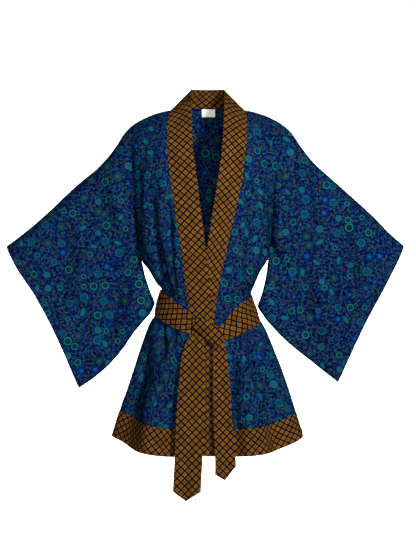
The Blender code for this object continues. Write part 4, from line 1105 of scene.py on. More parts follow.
# %% Fronts
OVERLAP_STEP = 0.0056
OVERLAP_START = -0.24
OVERLAP_FULL = -0.35
BAND_CURL = 1.2
HEM_FULLER = 0.0065
HEM_FULL_FROM = -0.700
HEM_FULL_OVER = 0.120
HEM_FULL_OUT = 1.5


def joined(*tables):
    """Several tables of folds as one."""
    return {name: np.concatenate([table[name] for table in tables]) for name in tables[0]}


def front_grid(side):
    """A front with its half of the neck band, from the side to the band's free edge, in rows to the hem."""
    names = ("top_seam", "top_free") if side < 0 else ("low_seam", "low_free")
    share = np.linspace(0, 1, FRONT_COLUMNS + 1)
    band_share = np.linspace(0, 1, BAND_COLUMNS + 1)[1:]
    rows = []
    for level in LEVELS:
        middle = body(side, "front_z", level)
        side_x = body(side, "x", level)
        seam_x = read(BAND, "z", names[0], middle)
        free_x = read(BAND, "z", names[1], middle)
        x = np.concatenate([
            across(side * side_x, seam_x, share, level),
            seam_x + (free_x - seam_x) * band_share,
        ])
        row = layer_points(side, level, x, "front")
        stand = np.concatenate([np.zeros_like(share), band_share ** BAND_CURL])
        row[:, 1] += stand * read(BAND_STAND, "z", "back", middle)
        row[:, 2] += stand * read(BAND_STAND, "z", "up", middle)
        if side > 0:
            under = ease((OVERLAP_START - middle) / (OVERLAP_START - OVERLAP_FULL))
            inward = np.concatenate([ease(share), np.ones(BAND_COLUMNS)])
            row[:, 1] += OVERLAP_STEP * under * inward
        rows.append(row)
    grid = np.array(rows)
    grid[0, :FRONT_COLUMNS + 1, 1] = 0
    side_x = body(side, "x", LEVELS)[:, None]
    outwards = np.clip(np.abs(grid[..., 0]) / side_x, 0, 1) ** HEM_FULL_OUT
    near_hem = ease((HEM_FULL_FROM - grid[..., 2]) / HEM_FULL_OVER)
    grid[..., 2] -= HEM_FULLER * near_hem * np.sin(math.pi * outwards)
    grid = folded(grid, FRONT_FOLDS, faces_front, body_hold(grid, side_x))
    return creased(grid, joined(FRONT_CREASES, FRONT_GATHERS), faces_front, side_x)


left_front = front_grid(-1)
right_front = front_grid(1)
print("points in the fronts:", left_front.shape, right_front.shape)

# %% [markdown]
# ## The back and the neck band
#
# The back's first row is the shoulder line of both fronts with the seam round the neck between them. From
# there the rows spread down into the even rows of the back. The neck band goes on round the neck from the
# bands of the two fronts, as one strip from hem to hem.

# %% Back and neck band
BAND_ROLL = 0.002
NECK_SPREAD_FROM = 0.03
NECK_SPREAD_OVER = 0.13
NECK_SOFT = 0.04
NECK_FAN = 0.024
NECK_FAN_OVER = 0.022


def neck_station(name, count):
    """Points of the neck's seam or free edge, from the viewer's left side to the middle of the back."""
    place = np.linspace(0, 1, len(NECK["seam_x"]))
    at = np.linspace(0, 1, count + 1)
    points = np.stack([smooth(at, place, NECK[f"{name}_{axis}"]) for axis in "xyz"], -1)
    points[:, 0] *= -1
    return points


def mirrored(points):
    """The same points on the other side of the middle."""
    return points * np.array([-1, 1, 1])


def back_grid(left_front, right_front):
    """The back from the viewer's left side to the right side, in the same rows as the fronts."""
    share = np.linspace(0, 1, FRONT_COLUMNS + 1)
    neck = neck_station("seam", NECK_COLUMNS)
    neck_share = neck[:, 0] / neck[0, 0]
    even_share = np.linspace(1, 0, NECK_COLUMNS + 1)
    halves = []
    for side, front in ((-1, left_front), (1, right_front)):
        rows = []
        neck_side = neck if side < 0 else mirrored(neck)
        top = np.concatenate([front[0, :FRONT_COLUMNS + 1], neck_side[1:]])
        for level in LEVELS:
            side_x = body(side, "x", level)
            down = ease((SHOULDER - level) / (SHOULDER - ARMPIT))
            fan = NECK_FAN * ease((SHOULDER - level) / NECK_FAN_OVER) * (1 - down)
            neck_x = side * (side_x * abs(neck[0, 0]) / BODY["left_x"][0] + fan)
            inner_share = (1 - down) * neck_share + down * even_share
            x = np.concatenate([across(side * side_x, neck_x, share, level), neck_x * inner_share[1:]])
            row = layer_points(side, level, x, "back")
            near = 1 - quarter_round((SHOULDER - level) / SHOULDER_ARCH)
            soft = ease((SHOULDER - level) / NECK_SOFT)
            spread = neck[-1, 1] * (1 - ease((np.abs(x) - NECK_SPREAD_FROM) / NECK_SPREAD_OVER))
            flat_top = layer_points(side, SHOULDER, x, "back")[:, 2]
            row[:, 1] += near * ((1 - soft) * top[:, 1] + soft * spread)
            row[:, 2] += near * (top[:, 2] - flat_top)
            rows.append(top if level == SHOULDER else row)
        halves.append(np.array(rows))
    grid = np.concatenate([halves[0], halves[1][:, -2::-1]], 1)
    side_x = np.where(grid[..., 0] < 0, body(-1, "x", LEVELS)[:, None], body(1, "x", LEVELS)[:, None])
    grid = folded(grid, BACK_FOLDS, faces_back, body_hold(grid, side_x))
    return creased(grid, joined(BACK_CREASES, BACK_GATHERS), faces_back, side_x)


def band_grid(left_front, right_front):
    """The whole neck band, from the hem on the viewer's left, round the neck, to the hem on the right."""
    left = left_front[:, FRONT_COLUMNS:]
    right = right_front[:, FRONT_COLUMNS:]
    seam = neck_station("seam", NECK_COLUMNS)
    free = neck_station("free", NECK_COLUMNS)
    share = np.linspace(0, 1, BAND_COLUMNS + 1)
    roll = np.sin(share * math.pi) * BAND_ROLL
    stations = []
    for a, b in zip(seam, free):
        station = a + (b - a) * share[:, None]
        station[:, 2] += roll
        stations.append(station)
    left_neck = np.array(stations)
    right_neck = mirrored(left_neck)[::-1]
    return np.concatenate([left[::-1], left_neck[1:-1], left_neck[-1:], right_neck[1:-1], right])


back = back_grid(left_front, right_front)
print("points in the back:", back.shape)

# %% [markdown]
# ## The sleeves
#
# A sleeve starts at the armhole, where its two layers are as far apart as the arm needs, and ends as a flat
# open cuff. The arm fills its upper part, and the lower part hangs flat. A sheet stretched between four
# edges, the top, the foot, the cuff and the armhole, gives each layer's outline, and the depths are laid on
# it.

# %% Sleeves
ARM_DEEP = 0.052
ARM_TAPER = 0.012
ARM_ROUND = 0.058
ARM_CORE = 0.046
ARM_FADE = 0.253
SLEEVE_FLAT_DEEP = 0.011
SLEEVE_TOP_ROUND = 0.02
SLEEVE_BOTTOM_ROUND = 0.035
SLEEVE_INNER_ROUND = 0.05
ARMHOLE_BLEND = 0.28
ARMPIT_BLEND = 0.12
INNER_ROWS = 26
SLEEVE_RINGS = 84
SLEEVE_FOLD_EDGE = 0.030
SLEEVE_SEAM_FOLD_EDGE = 0.043
SLEEVE_FREE_CREASE = 0.012
SLEEVE_BACK_SHIFT = 0.9


def sleeve_grids(side, front, back):
    """The front and back layers of a sleeve, in rings from the armhole to the cuff."""
    prefix = "left_" if side < 0 else "right_"

    def outline(table, at):
        return np.stack([read(table, "along", prefix + axis, at) for axis in "xz"], -1)

    armhole_front = front[:ARM_ROWS + 1, 0]
    armhole_back = back[:ARM_ROWS + 1, 0 if side < 0 else -1]
    inner = outline(SLEEVE_INNER, np.linspace(0, 1, INNER_ROWS + 1)[1:])
    edge = np.concatenate([armhole_front[:, [0, 2]], inner])
    lengths = np.concatenate([[0], np.cumsum(np.linalg.norm(np.diff(edge, axis=0), axis=1))])
    down = lengths / lengths[-1]
    along = np.linspace(0, 1, SLEEVE_RINGS + 1)[:, None]
    top = outline(SLEEVE_TOP, along[:, 0])[:, None]
    foot = outline(SLEEVE_FOOT, along[:, 0])[:, None]
    cuff = outline(SLEEVE_CUFF, down)[None]
    s = along[..., None]
    w = down[None, :, None]
    flat = (1 - w) * top + w * foot + (1 - s) * edge[None] + s * cuff
    flat -= (1 - s) * (1 - w) * top[0] + s * (1 - w) * top[-1] + (1 - s) * w * foot[0] + s * w * foot[-1]
    from_top = np.linalg.norm(flat - top, axis=-1)
    from_foot = np.linalg.norm(flat - foot, axis=-1)
    arm = quarter_round(from_top / ARM_ROUND) * (1 - ease((from_top - ARM_CORE) / ARM_FADE))
    deep = SLEEVE_FLAT_DEEP + (ARM_DEEP - ARM_TAPER * along - SLEEVE_FLAT_DEEP) * arm
    deep = deep * quarter_round(from_top / SLEEVE_TOP_ROUND) * quarter_round(from_foot / SLEEVE_BOTTOM_ROUND)
    open_part = 1 - ease((down - down[ARM_ROWS] + ARMPIT_BLEND) / ARMPIT_BLEND)[None]
    closed_blend = quarter_round(along / SLEEVE_INNER_ROUND) * (1 - open_part)
    blend = ease(along / ARMHOLE_BLEND) * open_part + closed_blend
    from_edge = np.linalg.norm(flat - edge[None], axis=-1)
    free = ease(np.minimum(from_top, from_foot) / SLEEVE_FOLD_EDGE) * ease(from_edge / SLEEVE_SEAM_FOLD_EDGE)
    fine_free = ease(np.minimum(np.minimum(from_top, from_foot), from_edge) / SLEEVE_FREE_CREASE)
    hangs_free = np.maximum(ease(from_edge / SLEEVE_SEAM_FOLD_EDGE), 1 - open_part)
    sway = fold_heights(SLEEVE_SWAYS, flat[..., 0], flat[..., 1]) * hangs_free
    sway *= ease(from_top / SLEEVE_FOLD_EDGE)
    layers = []
    for armhole, turn, outward in ((armhole_front, -1, faces_front), (armhole_back, 1, faces_back)):
        start = np.concatenate([np.abs(armhole[:, 1]), np.zeros(INNER_ROWS)])
        y = turn * (start[None] * (1 - blend) + deep * blend)
        grid = np.stack([flat[..., 0], y, flat[..., 1]], -1)
        grid[0, :ARM_ROWS + 1] = armhole
        shift = 1 if turn < 0 else SLEEVE_BACK_SHIFT
        out = FOLD_DEEPER * fold_heights(SLEEVE_FOLDS, grid[..., 0] * shift, grid[..., 2]) * free
        out += fold_heights(SLEEVE_CREASES, grid[..., 0] * shift, grid[..., 2]) * fine_free
        layers.append(grid + outer_normals(grid, outward) * out[..., None])
        layers[-1][..., 1] -= sway
    for edge_of in (np.s_[:, 0], np.s_[:, -1], np.s_[0, ARM_ROWS:]):
        layers[1][edge_of] = layers[0][edge_of]
    return layers


left_sleeve = sleeve_grids(-1, left_front, back)
right_sleeve = sleeve_grids(1, right_front, back)
print("points in a sleeve's layer:", left_sleeve[0].shape)

# %% [markdown]
# ## The valley at the armhole
#
# Body and sleeve are pulled in together along the armhole seam, where the cloth has nothing to lie on. So
# both sink towards the arm there, in a soft valley that is as deep on either side of the seam.

# %% Armhole valleys
VALLEY_WIDE = 0.0090
VALLEY_DEEP = 0.017
VALLEY_SHARE = 0.6
VALLEY_RISE = 0.10
VALLEY_FOOT = 0.03
VALLEY_TOP = {-1: -0.060, 1: -0.110}


def in_valley(grid, valley, turn):
    """Sinks a layer towards the arm along the armhole, where body and sleeve are pulled in together."""
    line_z, line_x, deep = valley
    x = np.interp(grid[..., 2], line_z, line_x)
    sink = np.interp(grid[..., 2], line_z, deep) * np.exp(-((grid[..., 0] - x) / VALLEY_WIDE) ** 2)
    sunk = grid.copy()
    sunk[..., 1] -= turn * np.minimum(sink, VALLEY_SHARE * np.abs(grid[..., 1]))
    return sunk


def valley_of(edge, top_z):
    """The valley along an armhole's edge: its heights, its places and its depths, from the lowest up."""
    line = edge[::-1]
    rise = ease((top_z - line[:, 2]) / VALLEY_RISE) * ease((line[:, 2] - line[0, 2]) / VALLEY_FOOT)
    return line[:, 2], line[:, 0], VALLEY_DEEP * rise


for side, front, sleeve in ((-1, left_front, left_sleeve), (1, right_front, right_sleeve)):
    front_valley = valley_of(front[:ARM_ROWS + 1, 0], VALLEY_TOP[side])
    back_valley = valley_of(back[:ARM_ROWS + 1, 0 if side < 0 else -1], VALLEY_TOP[side])
    front[:] = in_valley(front, front_valley, -1)
    back[:] = in_valley(back, back_valley, 1)
    sleeve[0] = in_valley(sleeve[0], front_valley, -1)
    sleeve[1] = in_valley(sleeve[1], back_valley, 1)
print("valleys start at heights of", list(VALLEY_TOP.values()), "m")

# %% [markdown]
# ## Flat cuts
#
# Each piece of cloth keeps its flat cut as a UV map in metres: how far each point lies from the seam and
# down the piece. The prints follow it, so they bend with the cloth and keep their size. Panels, straight
# strips and the leaning sash are each laid flat in their own way.

# %% Flat cuts
def run_lengths(grid, axis):
    """How far each point lies along a grid's columns or rows, in metres."""
    steps = np.linalg.norm(np.diff(grid, axis=axis), axis=-1)
    start = np.zeros_like(np.take(steps, [0], axis))
    return np.concatenate([start, np.cumsum(steps, axis)], axis)


def panel_cut(grid, seam_column):
    """The flat cut of a panel that hangs: metres round the body from one of its columns, and metres down."""
    round_body = run_lengths(grid * (1, 1, 0), 1)
    way = np.sign(grid[0, -1, 0] - grid[0, 0, 0])
    over = grid[:, [seam_column], 0] + way * (round_body - round_body[:, [seam_column]])
    down = grid[:1, :, 2] - run_lengths(grid * (0, 1, 1), 0)
    return np.stack([over, down], -1)


def leaning_cut(grid, lean):
    """The flat cut of a strip that climbs as it runs, unrolled along its middle with the cloth's own lean."""
    middle = grid.mean(1)
    level_step = np.linalg.norm(np.diff(middle[:, :2], axis=0), axis=1)
    climb = np.diff(middle[:, 2])
    half_way = (lean[1:] + lean[:-1]) / 2
    along = np.concatenate([[0], np.cumsum(np.cos(half_way) * level_step + np.sin(half_way) * climb)])
    aside = np.concatenate([[0], np.cumsum(np.cos(half_way) * climb - np.sin(half_way) * level_step)])
    above = grid[..., 2] - middle[:, None, 2]
    lean = lean[:, None]
    return np.stack([aside[:, None] + above * np.cos(lean), along[:, None] + above * np.sin(lean)], -1)


def strip_cut(grid, wide):
    """The flat cut of a straight strip whose rows run along it: metres across and metres along."""
    share = np.linspace(0, wide, grid.shape[1])
    along = run_lengths(grid, 0).mean(1)
    return np.stack(np.broadcast_arrays(share[None, :], along[:, None]), -1)


print("a sleeve along its top in cm:", round(run_lengths(left_sleeve[0], 0)[-1, 0] * 100, 1))

# %% [markdown]
# ## Thin shells
#
# A grid becomes a mesh of quads with its flat cut as a UV map. Two layers that meet at their edges, as in a
# sleeve, are merged there into one bag. The sheet gets its thickness from a Solidify modifier, and doubled
# strips get a small bevel for their pressed edges.

# %% Cloth shells
VISCOSE_THICK = 0.0008
BAND_THICK = 0.0022
HEM_THICK = 0.0018
SASH_THICK = 0.0020
LABEL_THICK = 0.0005
BAND_PRESSED = 0.0008
HEM_PRESSED = 0.0006
SASH_PRESSED = 0.0007
PRESSED_SEGMENTS = 2
PRESSED_ANGLE = math.radians(60)
SAME_POINT = 1e-6
pieces = {}


def quads(rows, count):
    """Faces of a grid of points, as four point numbers each."""
    first = (np.arange(rows - 1)[:, None] * count + np.arange(count - 1)).ravel()
    return np.stack([first, first + 1, first + count + 1, first + count], -1)


def mesh_with_cut(name, points, faces, cut):
    """A mesh that keeps the flat cut of each of its points as a UV map."""
    mesh = bpy.data.meshes.new(name)
    mesh.from_pydata(points.tolist(), [], faces)
    corners = np.empty(len(mesh.loops), int)
    mesh.loops.foreach_get("vertex_index", corners)
    mesh.uv_layers.new(name="cut").data.foreach_set("uv", cut[corners].astype(np.float32).ravel())
    return mesh


def sheet_of(name, mesh, made_of, thick, offset):
    """Puts a sheet of cloth into the scene and among the pieces, with its thickness."""
    mesh.shade_smooth()
    mesh.materials.append(made_of)
    pieces[name] = added(name + "_cloth", mesh)
    wall = pieces[name].modifiers.new("thickness", "SOLIDIFY")
    wall.thickness = thick
    wall.offset = offset


def cloth(name, thick, layers, made_of, outward, pressed_edge=None):
    """A shell of cloth from one or two layers, each with its flat cut."""
    points, cuts, faces = [], [], []
    start = 0
    for number, (grid, cut) in enumerate(layers):
        face = quads(*grid.shape[:2]) + start
        faces.append(face[:, ::-1] if number else face)
        points.append(grid.reshape(-1, 3))
        cuts.append(cut.reshape(-1, 2))
        start += grid.shape[0] * grid.shape[1]
    mesh = mesh_with_cut(
        name + "_cloth", np.concatenate(points), np.concatenate(faces).tolist(), np.concatenate(cuts))

    shape = bmesh.new()
    shape.from_mesh(mesh)
    bmesh.ops.remove_doubles(shape, verts=shape.verts, dist=SAME_POINT)
    shape.normal_update()
    at = np.array([corner.co for corner in shape.verts])
    lean = np.array([corner.normal for corner in shape.verts])
    if outward(at, lean) < 0:
        bmesh.ops.reverse_faces(shape, faces=shape.faces)
    shape.to_mesh(mesh)
    shape.free()
    sheet_of(name, mesh, made_of, thick, 0)
    if pressed_edge:
        rounding = pieces[name].modifiers.new("pressed edge", "BEVEL")
        rounding.width = pressed_edge
        rounding.segments = PRESSED_SEGMENTS
        rounding.limit_method = "ANGLE"
        rounding.angle_limit = PRESSED_ANGLE


print("the doubled neck band is", round(BAND_THICK / VISCOSE_THICK, 1), "times as thick as the viscose")

# %% [markdown]
# ## Seams
#
# A sewn seam pulls the cloth in a little and puckers it between the stitches. Near every sewn edge the
# panels sink by less than a millimetre, in small uneven waves. Both sides of a seam sink alike, so they
# still meet.

# %% Seam press
SEAM_SINK = 0.0008
SEAM_SOFT = 0.0035
PUCKER = 0.0005
PUCKER_WAVE = 0.015
PUCKER_REACH = 0.009
PUCKER_UNEVEN = 2.1
PUCKER_UNEVEN_OVER = 0.047


def seam_press(grid, outward, edges):
    """Sinks a grid near its sewn edges: any of top, foot, first and last."""
    down = run_lengths(grid, 0)
    over = run_lengths(grid, 1)
    from_edge = {"top": down, "foot": down[-1:] - down, "first": over, "last": over[:, -1:] - over}
    sink = np.zeros(grid.shape[:2])
    for edge in edges:
        away = from_edge[edge]
        along = down if edge in ("first", "last") else over
        uneven = PUCKER_UNEVEN * np.sin(along / PUCKER_UNEVEN_OVER)
        wave = np.sin(2 * math.pi * along / PUCKER_WAVE + uneven)
        sink = np.maximum(sink, SEAM_SINK * np.exp(-(away / SEAM_SOFT) ** 2))
        near = ease(away / SEAM_SOFT) * np.exp(-(away / PUCKER_REACH) ** 2)
        sink = sink + PUCKER * wave * near
    return grid - outer_normals(grid, outward) * sink[..., None]


print("seams sink by", SEAM_SINK * 1000, "mm")

# %% [markdown]
# ## Panels, hem bands and neck band
#
# The grids are now parted as a maker cuts the cloth: two fronts, a back, two sleeves, three lengths of hem
# band and one long neck band.

# %% Body pieces
HEM_WIDE = 0.070
BAND_WIDE = 0.060
CUT_PLACES = {
    "front_right": (0.0, 0.0), "front_left": (1.31, 0.42), "back": (2.47, 0.13),
    "sleeve_right": (0.58, 1.71), "sleeve_left": (1.93, 1.17),
}
panel = np.s_[:HEM_SEAM_ROW + 1, :FRONT_COLUMNS + 1]
hem = np.s_[HEM_SEAM_ROW:, :FRONT_COLUMNS + 1]
sewn = ("top", "foot", "first", "last")
grids = {
    "front_right": seam_press(left_front[panel], faces_front, sewn),
    "front_left": seam_press(right_front[panel], faces_front, sewn),
    "back": seam_press(back[:HEM_SEAM_ROW + 1], faces_back, sewn),
    "hem_band_right": seam_press(left_front[hem], faces_front, ("top", "first")),
    "hem_band_left": seam_press(right_front[hem], faces_front, ("top", "first")),
    "hem_band_back": seam_press(back[HEM_SEAM_ROW:], faces_back, ("top", "first", "last")),
}
outwards = {name: faces_back if "back" in name else faces_front for name in grids}
for name in ("front_right", "front_left", "back"):
    seam_column = FRONT_COLUMNS if name != "back" else grids[name].shape[1] // 2
    cut = panel_cut(grids[name], seam_column) + CUT_PLACES[name]
    cloth(name, VISCOSE_THICK, [(grids[name], cut)], navy_floral_viscose, outwards[name])

hem_strips = {name: grid.transpose(1, 0, 2) for name, grid in grids.items() if name.startswith("hem_band")}
for name, strip in hem_strips.items():
    cut = strip_cut(strip, HEM_WIDE)
    cloth(name, HEM_THICK, [(strip, cut)], gold_lattice_viscose, outwards[name], HEM_PRESSED)

band = seam_press(band_grid(left_front, right_front), faces_from_axis, ("first",))
band_cut = strip_cut(band, BAND_WIDE)
cloth("neck_band", BAND_THICK, [(band, band_cut)], gold_lattice_viscose, faces_from_axis, BAND_PRESSED)
print("neck band length in cm:", round(run_lengths(band, 0).mean(1)[-1] * 100, 1))

# %% [markdown]
# ## Sleeve pieces
#
# Each sleeve is one bag of cloth. Front and back show different parts of the print, so the back's flat cut
# lies in a place of its own, and turned over, as the back of a folded length is.

# %% Sleeve pieces
SLEEVE_BACK_CUT = (0.90, 0.35)


def sleeve_cuts(layers):
    """Flat cuts of a sleeve's front and back, which hangs as flat as it was cut."""
    return [layers[0][..., [0, 2]], layers[1][..., [0, 2]] * (-1, 1) + SLEEVE_BACK_CUT]


for name, layers in (("sleeve_right", left_sleeve), ("sleeve_left", right_sleeve)):
    cuts = [cut + CUT_PLACES[name] for cut in sleeve_cuts(layers)]
    cloth(name, VISCOSE_THICK, list(zip(layers, cuts)), navy_floral_viscose, faces_away)
print("pieces so far:", list(pieces))

# %% [markdown]
# ## The robe as the sash feels it
#
# The sash and its ends lie on the robe, so they need its outer side as a plain surface with no folds. A
# place round the waist in degrees, or a place as seen from the front, gives the point there, moved out by a
# distance.

# %% Surface under the sash
SURFACE_ROWS = 160


class Surface:
    """The outside of the robe round the waist and skirt, as the sash and its ends lie on it."""

    def __init__(self):
        self.level = np.linspace(ARMPIT, HEM, SURFACE_ROWS)

    def point(self, degrees, z, off):
        """The point at some degrees round the body and at a height, moved out by off."""
        turn = math.radians(degrees)
        side = -1 if math.cos(turn) > 0 else 1
        share = side * abs(math.cos(turn)) ** (2 / SECTION_ROUND)
        layer = "front" if degrees <= 180 else "back"
        line = layer_points(side, self.level, share * body(side, "x", self.level), layer)
        order = np.argsort(line[:, 2])
        found = np.array([np.interp(z, line[order, 2], line[order, axis]) for axis in range(3)])
        return found + off * np.array(self.outward(degrees))

    @staticmethod
    def outward(degrees):
        """A level direction away from the body, squarer than a circle's as the section is."""
        turn = math.radians(degrees)
        way = np.array([-math.cos(turn), -math.sin(turn) * SECTION_SQUARE, 0])
        return way / np.linalg.norm(way)

    def ahead(self, x, z, off):
        """The point straight in front at x and z, moved forward by off. Below the hem it hangs straight."""
        side = -1 if x < 0 else 1
        line = layer_points(side, self.level, np.full_like(self.level, x), "front")
        order = np.argsort(line[:, 2])
        y = np.interp(z, line[order, 2], line[order, 1])
        return np.array([x, y - off, z])


surface = Surface()
print("middle of the waist in front, in m:", surface.point(90, BODY["front_z"][8], 0).round(3))

# %% [markdown]
# ## The sash round the waist
#
# The sash lies on the robe, a little off it, and its edges rise to the sides. Near the knot it is drawn
# together, so pleats run into the knot from both sides. Each pleat is a row in a table: from and to, in
# degrees round the waist and in shares of the sash's width, and how far it stands out.

# %% Sash waist
SASH_OFF = 0.0038
SASH_SWELL = 0.0012
SIDE_SWELL = 0.0030
SIDE_SWELL_POWER = 3
SASH_STATIONS = 240
SASH_ROWS = 24
PLEAT_START = 0.35
PLEAT_END = 0.15
SASH_PLEATS = columns(
    "from_degrees to_degrees from_share to_share wide out",
    (30, 96, 0.30, 0.48, 0.10, -0.0030),
    (48, 96, 0.62, 0.62, 0.08, 0.0026),
    (58, 97, 0.16, 0.36, 0.07, 0.0024),
    (64, 97, 0.80, 0.70, 0.07, -0.0024),
    (104, 152, 0.50, 0.36, 0.09, -0.0028),
    (103, 140, 0.66, 0.70, 0.08, 0.0026),
    (104, 134, 0.34, 0.14, 0.07, 0.0022),
    (190, 240, 0.30, 0.44, 0.10, -0.0014),
    (262, 330, 0.62, 0.50, 0.12, -0.0016),
    (300, 352, 0.26, 0.34, 0.10, 0.0014),
)

# How far the cloth of the sash leans up from level, in degrees. It changes at once under the knot, where
# the sash's two halves meet.
SASH_LEAN = columns(
    "degrees lean",
    (-90, 0), (-45, -2), (-15, -30), (0, -43), (97.5, -43), (98.5, 28), (180, 28), (225, 2), (270, 0),
)
SASH_DEGREES = np.linspace(-90, 270, SASH_STATIONS + 1)


def pleat_heights(degrees, share):
    """How far the sash's pleats stand out at each place."""
    total = 0.0
    for start, end, share_from, share_to, wide, out in zip(*SASH_PLEATS.values()):
        t = (degrees - start) / (end - start)
        middle = share_from + (share_to - share_from) * np.clip(t, 0, 1)
        fade = ease(t / PLEAT_START) * ease((1 - t) / PLEAT_END)
        total = total + out * fade * np.exp(-((share - middle) / wide) ** 2)
    return total


def sash_swell(degrees):
    """How far the sash bulges between its edges, most at the sides."""
    return SASH_SWELL + SIDE_SWELL * abs(math.cos(math.radians(degrees))) ** SIDE_SWELL_POWER


def sash_grid(surface):
    """The sash round the waist, as a closed ring from the middle of the back."""
    ring = []
    for degrees in SASH_DEGREES[:-1] % 360:
        top, foot = sash_edges(degrees)
        across_sash = []
        for t in np.linspace(0, 1, SASH_ROWS + 1):
            swell = sash_swell(degrees) * math.sin(math.pi * t)
            off = SASH_OFF + swell + float(pleat_heights(degrees, t))
            across_sash.append(surface.point(degrees, top + (foot - top) * t, off))
        ring.append(across_sash)
    ring.append(ring[0])
    return np.array(ring)


waist = sash_grid(surface)
waist_cut = leaning_cut(waist, np.radians(np.interp(SASH_DEGREES, SASH_LEAN["degrees"], SASH_LEAN["lean"])))
cloth("sash_waist", SASH_THICK, [(waist, waist_cut)], gold_lattice_viscose, faces_from_axis, SASH_PRESSED)
print("sash round the waist in cm:", round(run_lengths(waist, 0).mean(1)[-1] * 100, 1))

# %% [markdown]
# ## The hanging ends
#
# Both ends leave the knot gathered, and open out as they fall. Soft lengthwise folds are deepest at the
# knot, and the edges curl forward a little. Each fold is its place across the end, as a share, and how far
# it stands out.

# %% Sash ends
END_COLUMNS = 28
END_ROWS = 110
TIP_ROWS = 4
END_FOLD_WIDE = 0.11
END_FOLD_FADE = 0.160
END_FOLD_LEAST = 0.35
END_CURL = 0.0030
END_CURL_OVER = 0.10
LONG_FOLDS = ((0.20, 0.0030), (0.46, -0.0024), (0.74, 0.0028))
SHORT_FOLDS = ((0.28, 0.0028), (0.62, -0.0020))


def end_grid(surface, table, tip, corners_z, folds):
    """One hanging end of the sash, down to its pointed tip."""
    share = np.linspace(0, 1, END_COLUMNS + 1)
    top, foot = table["z"][0], table["z"][-1]
    rows = []
    for z in np.linspace(top, foot, END_ROWS + 1):
        left, right, off = (read(table, "z", name, z) for name in ("left_x", "right_x", "off"))
        deep = END_FOLD_LEAST + (1 - END_FOLD_LEAST) * math.exp(-(top - z) / END_FOLD_FADE)
        wave = sum(out * np.exp(-((share - middle) / END_FOLD_WIDE) ** 2) for middle, out in folds)
        curl = END_CURL * (2 * share - 1) ** 2 * ease((top - z) / END_CURL_OVER)
        offs = off + deep * wave + curl
        rows.append([surface.ahead(left + (right - left) * t, z, out) for t, out in zip(share, offs)])
    last = np.array(rows[-1])
    x = np.interp(share, (0, 0.5, 1), (last[0, 0], tip[0], last[-1, 0]))
    z = np.interp(share, (0, 0.5, 1), (corners_z[0], tip[1], corners_z[1]))
    point = np.stack([x, last[:, 1], z], -1)
    for t in np.linspace(0, 1, TIP_ROWS + 1)[1:]:
        rows.append(last + (point - last) * t)
    return np.array(rows)


ends = {
    "sash_end_long": end_grid(surface, LONG_END, LONG_TIP, LONG_CORNERS, LONG_FOLDS),
    "sash_end_short": end_grid(surface, SHORT_END, SHORT_TIP, SHORT_CORNERS, SHORT_FOLDS),
}
for name, grid in ends.items():
    cut = panel_cut(grid, END_COLUMNS // 2)
    cloth(name, SASH_THICK, [(grid, cut)], gold_lattice_viscose, faces_front, SASH_PRESSED)
    print(name, "in cm:", round(run_lengths(grid, 0).mean(1)[-1] * 100, 1))

# %% [markdown]
# ## The knot
#
# The knot is half a bow: the sash's one side wraps over the other and goes back under. It is a soft lump,
# open behind against the waist, that lies aslant, with creases that run along the wrap and are tucked in at
# its ends.

# %% Knot
KNOT_MIDDLE = (0.0015, -0.549)
KNOT_LONG = 0.042
KNOT_SHORT = 0.0195
KNOT_SLANT = math.radians(-36)
KNOT_HIGH = 0.013
KNOT_EDGE = 0.004
KNOT_BACK_SHARE = 0.93
KNOT_OFF = 0.0101
KNOT_SQUARE = 4
KNOT_FLAT = 3
KNOT_CREASES = 2
KNOT_CREASE_DEEP = 0.0018
KNOT_THICK = 0.0012
KNOT_SPOKES = 96
KNOT_RINGS = 26
KNOT_BACK_STEP = 2


def knot_turn(surface, spokes, rings):
    """The knot's turn of cloth: a soft creased front whose edges are tucked in behind it."""
    turn = np.array([math.cos(KNOT_SLANT), math.sin(KNOT_SLANT)])
    across_turn = np.array([-turn[1], turn[0]])

    def place(radius, angle, raised):
        power = KNOT_SQUARE
        square = (abs(math.cos(angle)) ** power + abs(math.sin(angle)) ** power) ** (-1 / power)
        u = KNOT_LONG * radius * square * math.cos(angle)
        v = KNOT_SHORT * radius * square * math.sin(angle)
        x, z = np.array(KNOT_MIDDLE) + turn * u + across_turn * v
        dome = (1 - radius ** KNOT_FLAT) * KNOT_HIGH
        crease = KNOT_CREASE_DEEP * math.cos(KNOT_CREASES * math.pi * v / KNOT_SHORT) * (1 - radius)
        return surface.ahead(x, z, KNOT_OFF + (KNOT_EDGE + dome + crease if raised else 0))

    points = [place(0, 0, True)]
    angles = np.linspace(0, 2 * math.pi, spokes + 1)[:-1]
    for ring in range(1, rings + 1):
        points += [place(ring / rings, angle, True) for angle in angles]
    for ring in range(rings, rings // 2, -KNOT_BACK_STEP):
        points += [place(ring / rings * KNOT_BACK_SHARE, angle, False) for angle in angles]
    layers = (len(points) - 1) // spokes
    faces = []
    for k in range(spokes):
        n = (k + 1) % spokes
        faces.append([0, 1 + k, 1 + n])
        for layer in range(layers - 1):
            a = 1 + layer * spokes
            faces.append([a + n, a + k, a + spokes + k, a + spokes + n])
    return np.array(points), faces


points, faces = knot_turn(surface, KNOT_SPOKES, KNOT_RINGS)
mesh = mesh_with_cut("sash_knot_cloth", points, faces, points[:, [0, 2]])
shape = bmesh.new()
shape.from_mesh(mesh)
bmesh.ops.recalc_face_normals(shape, faces=shape.faces)
shape.to_mesh(mesh)
shape.free()
sheet_of("sash_knot", mesh, gold_lattice_viscose, KNOT_THICK, -1)
print("knot points:", len(points))

# %% [markdown]
# ## The label
#
# A short blank ribbon hangs from the seam inside the back of the neck and follows the back's inner side.

# %% Label
LABEL_WIDE = 0.034
LABEL_HIGH = 0.020
LABEL_MIDDLE = 0.002
LABEL_BELOW_SEAM = 0.0015
LABEL_COLUMNS = 16
LABEL_ROWS = 12
LABEL_INSET = 0.0012


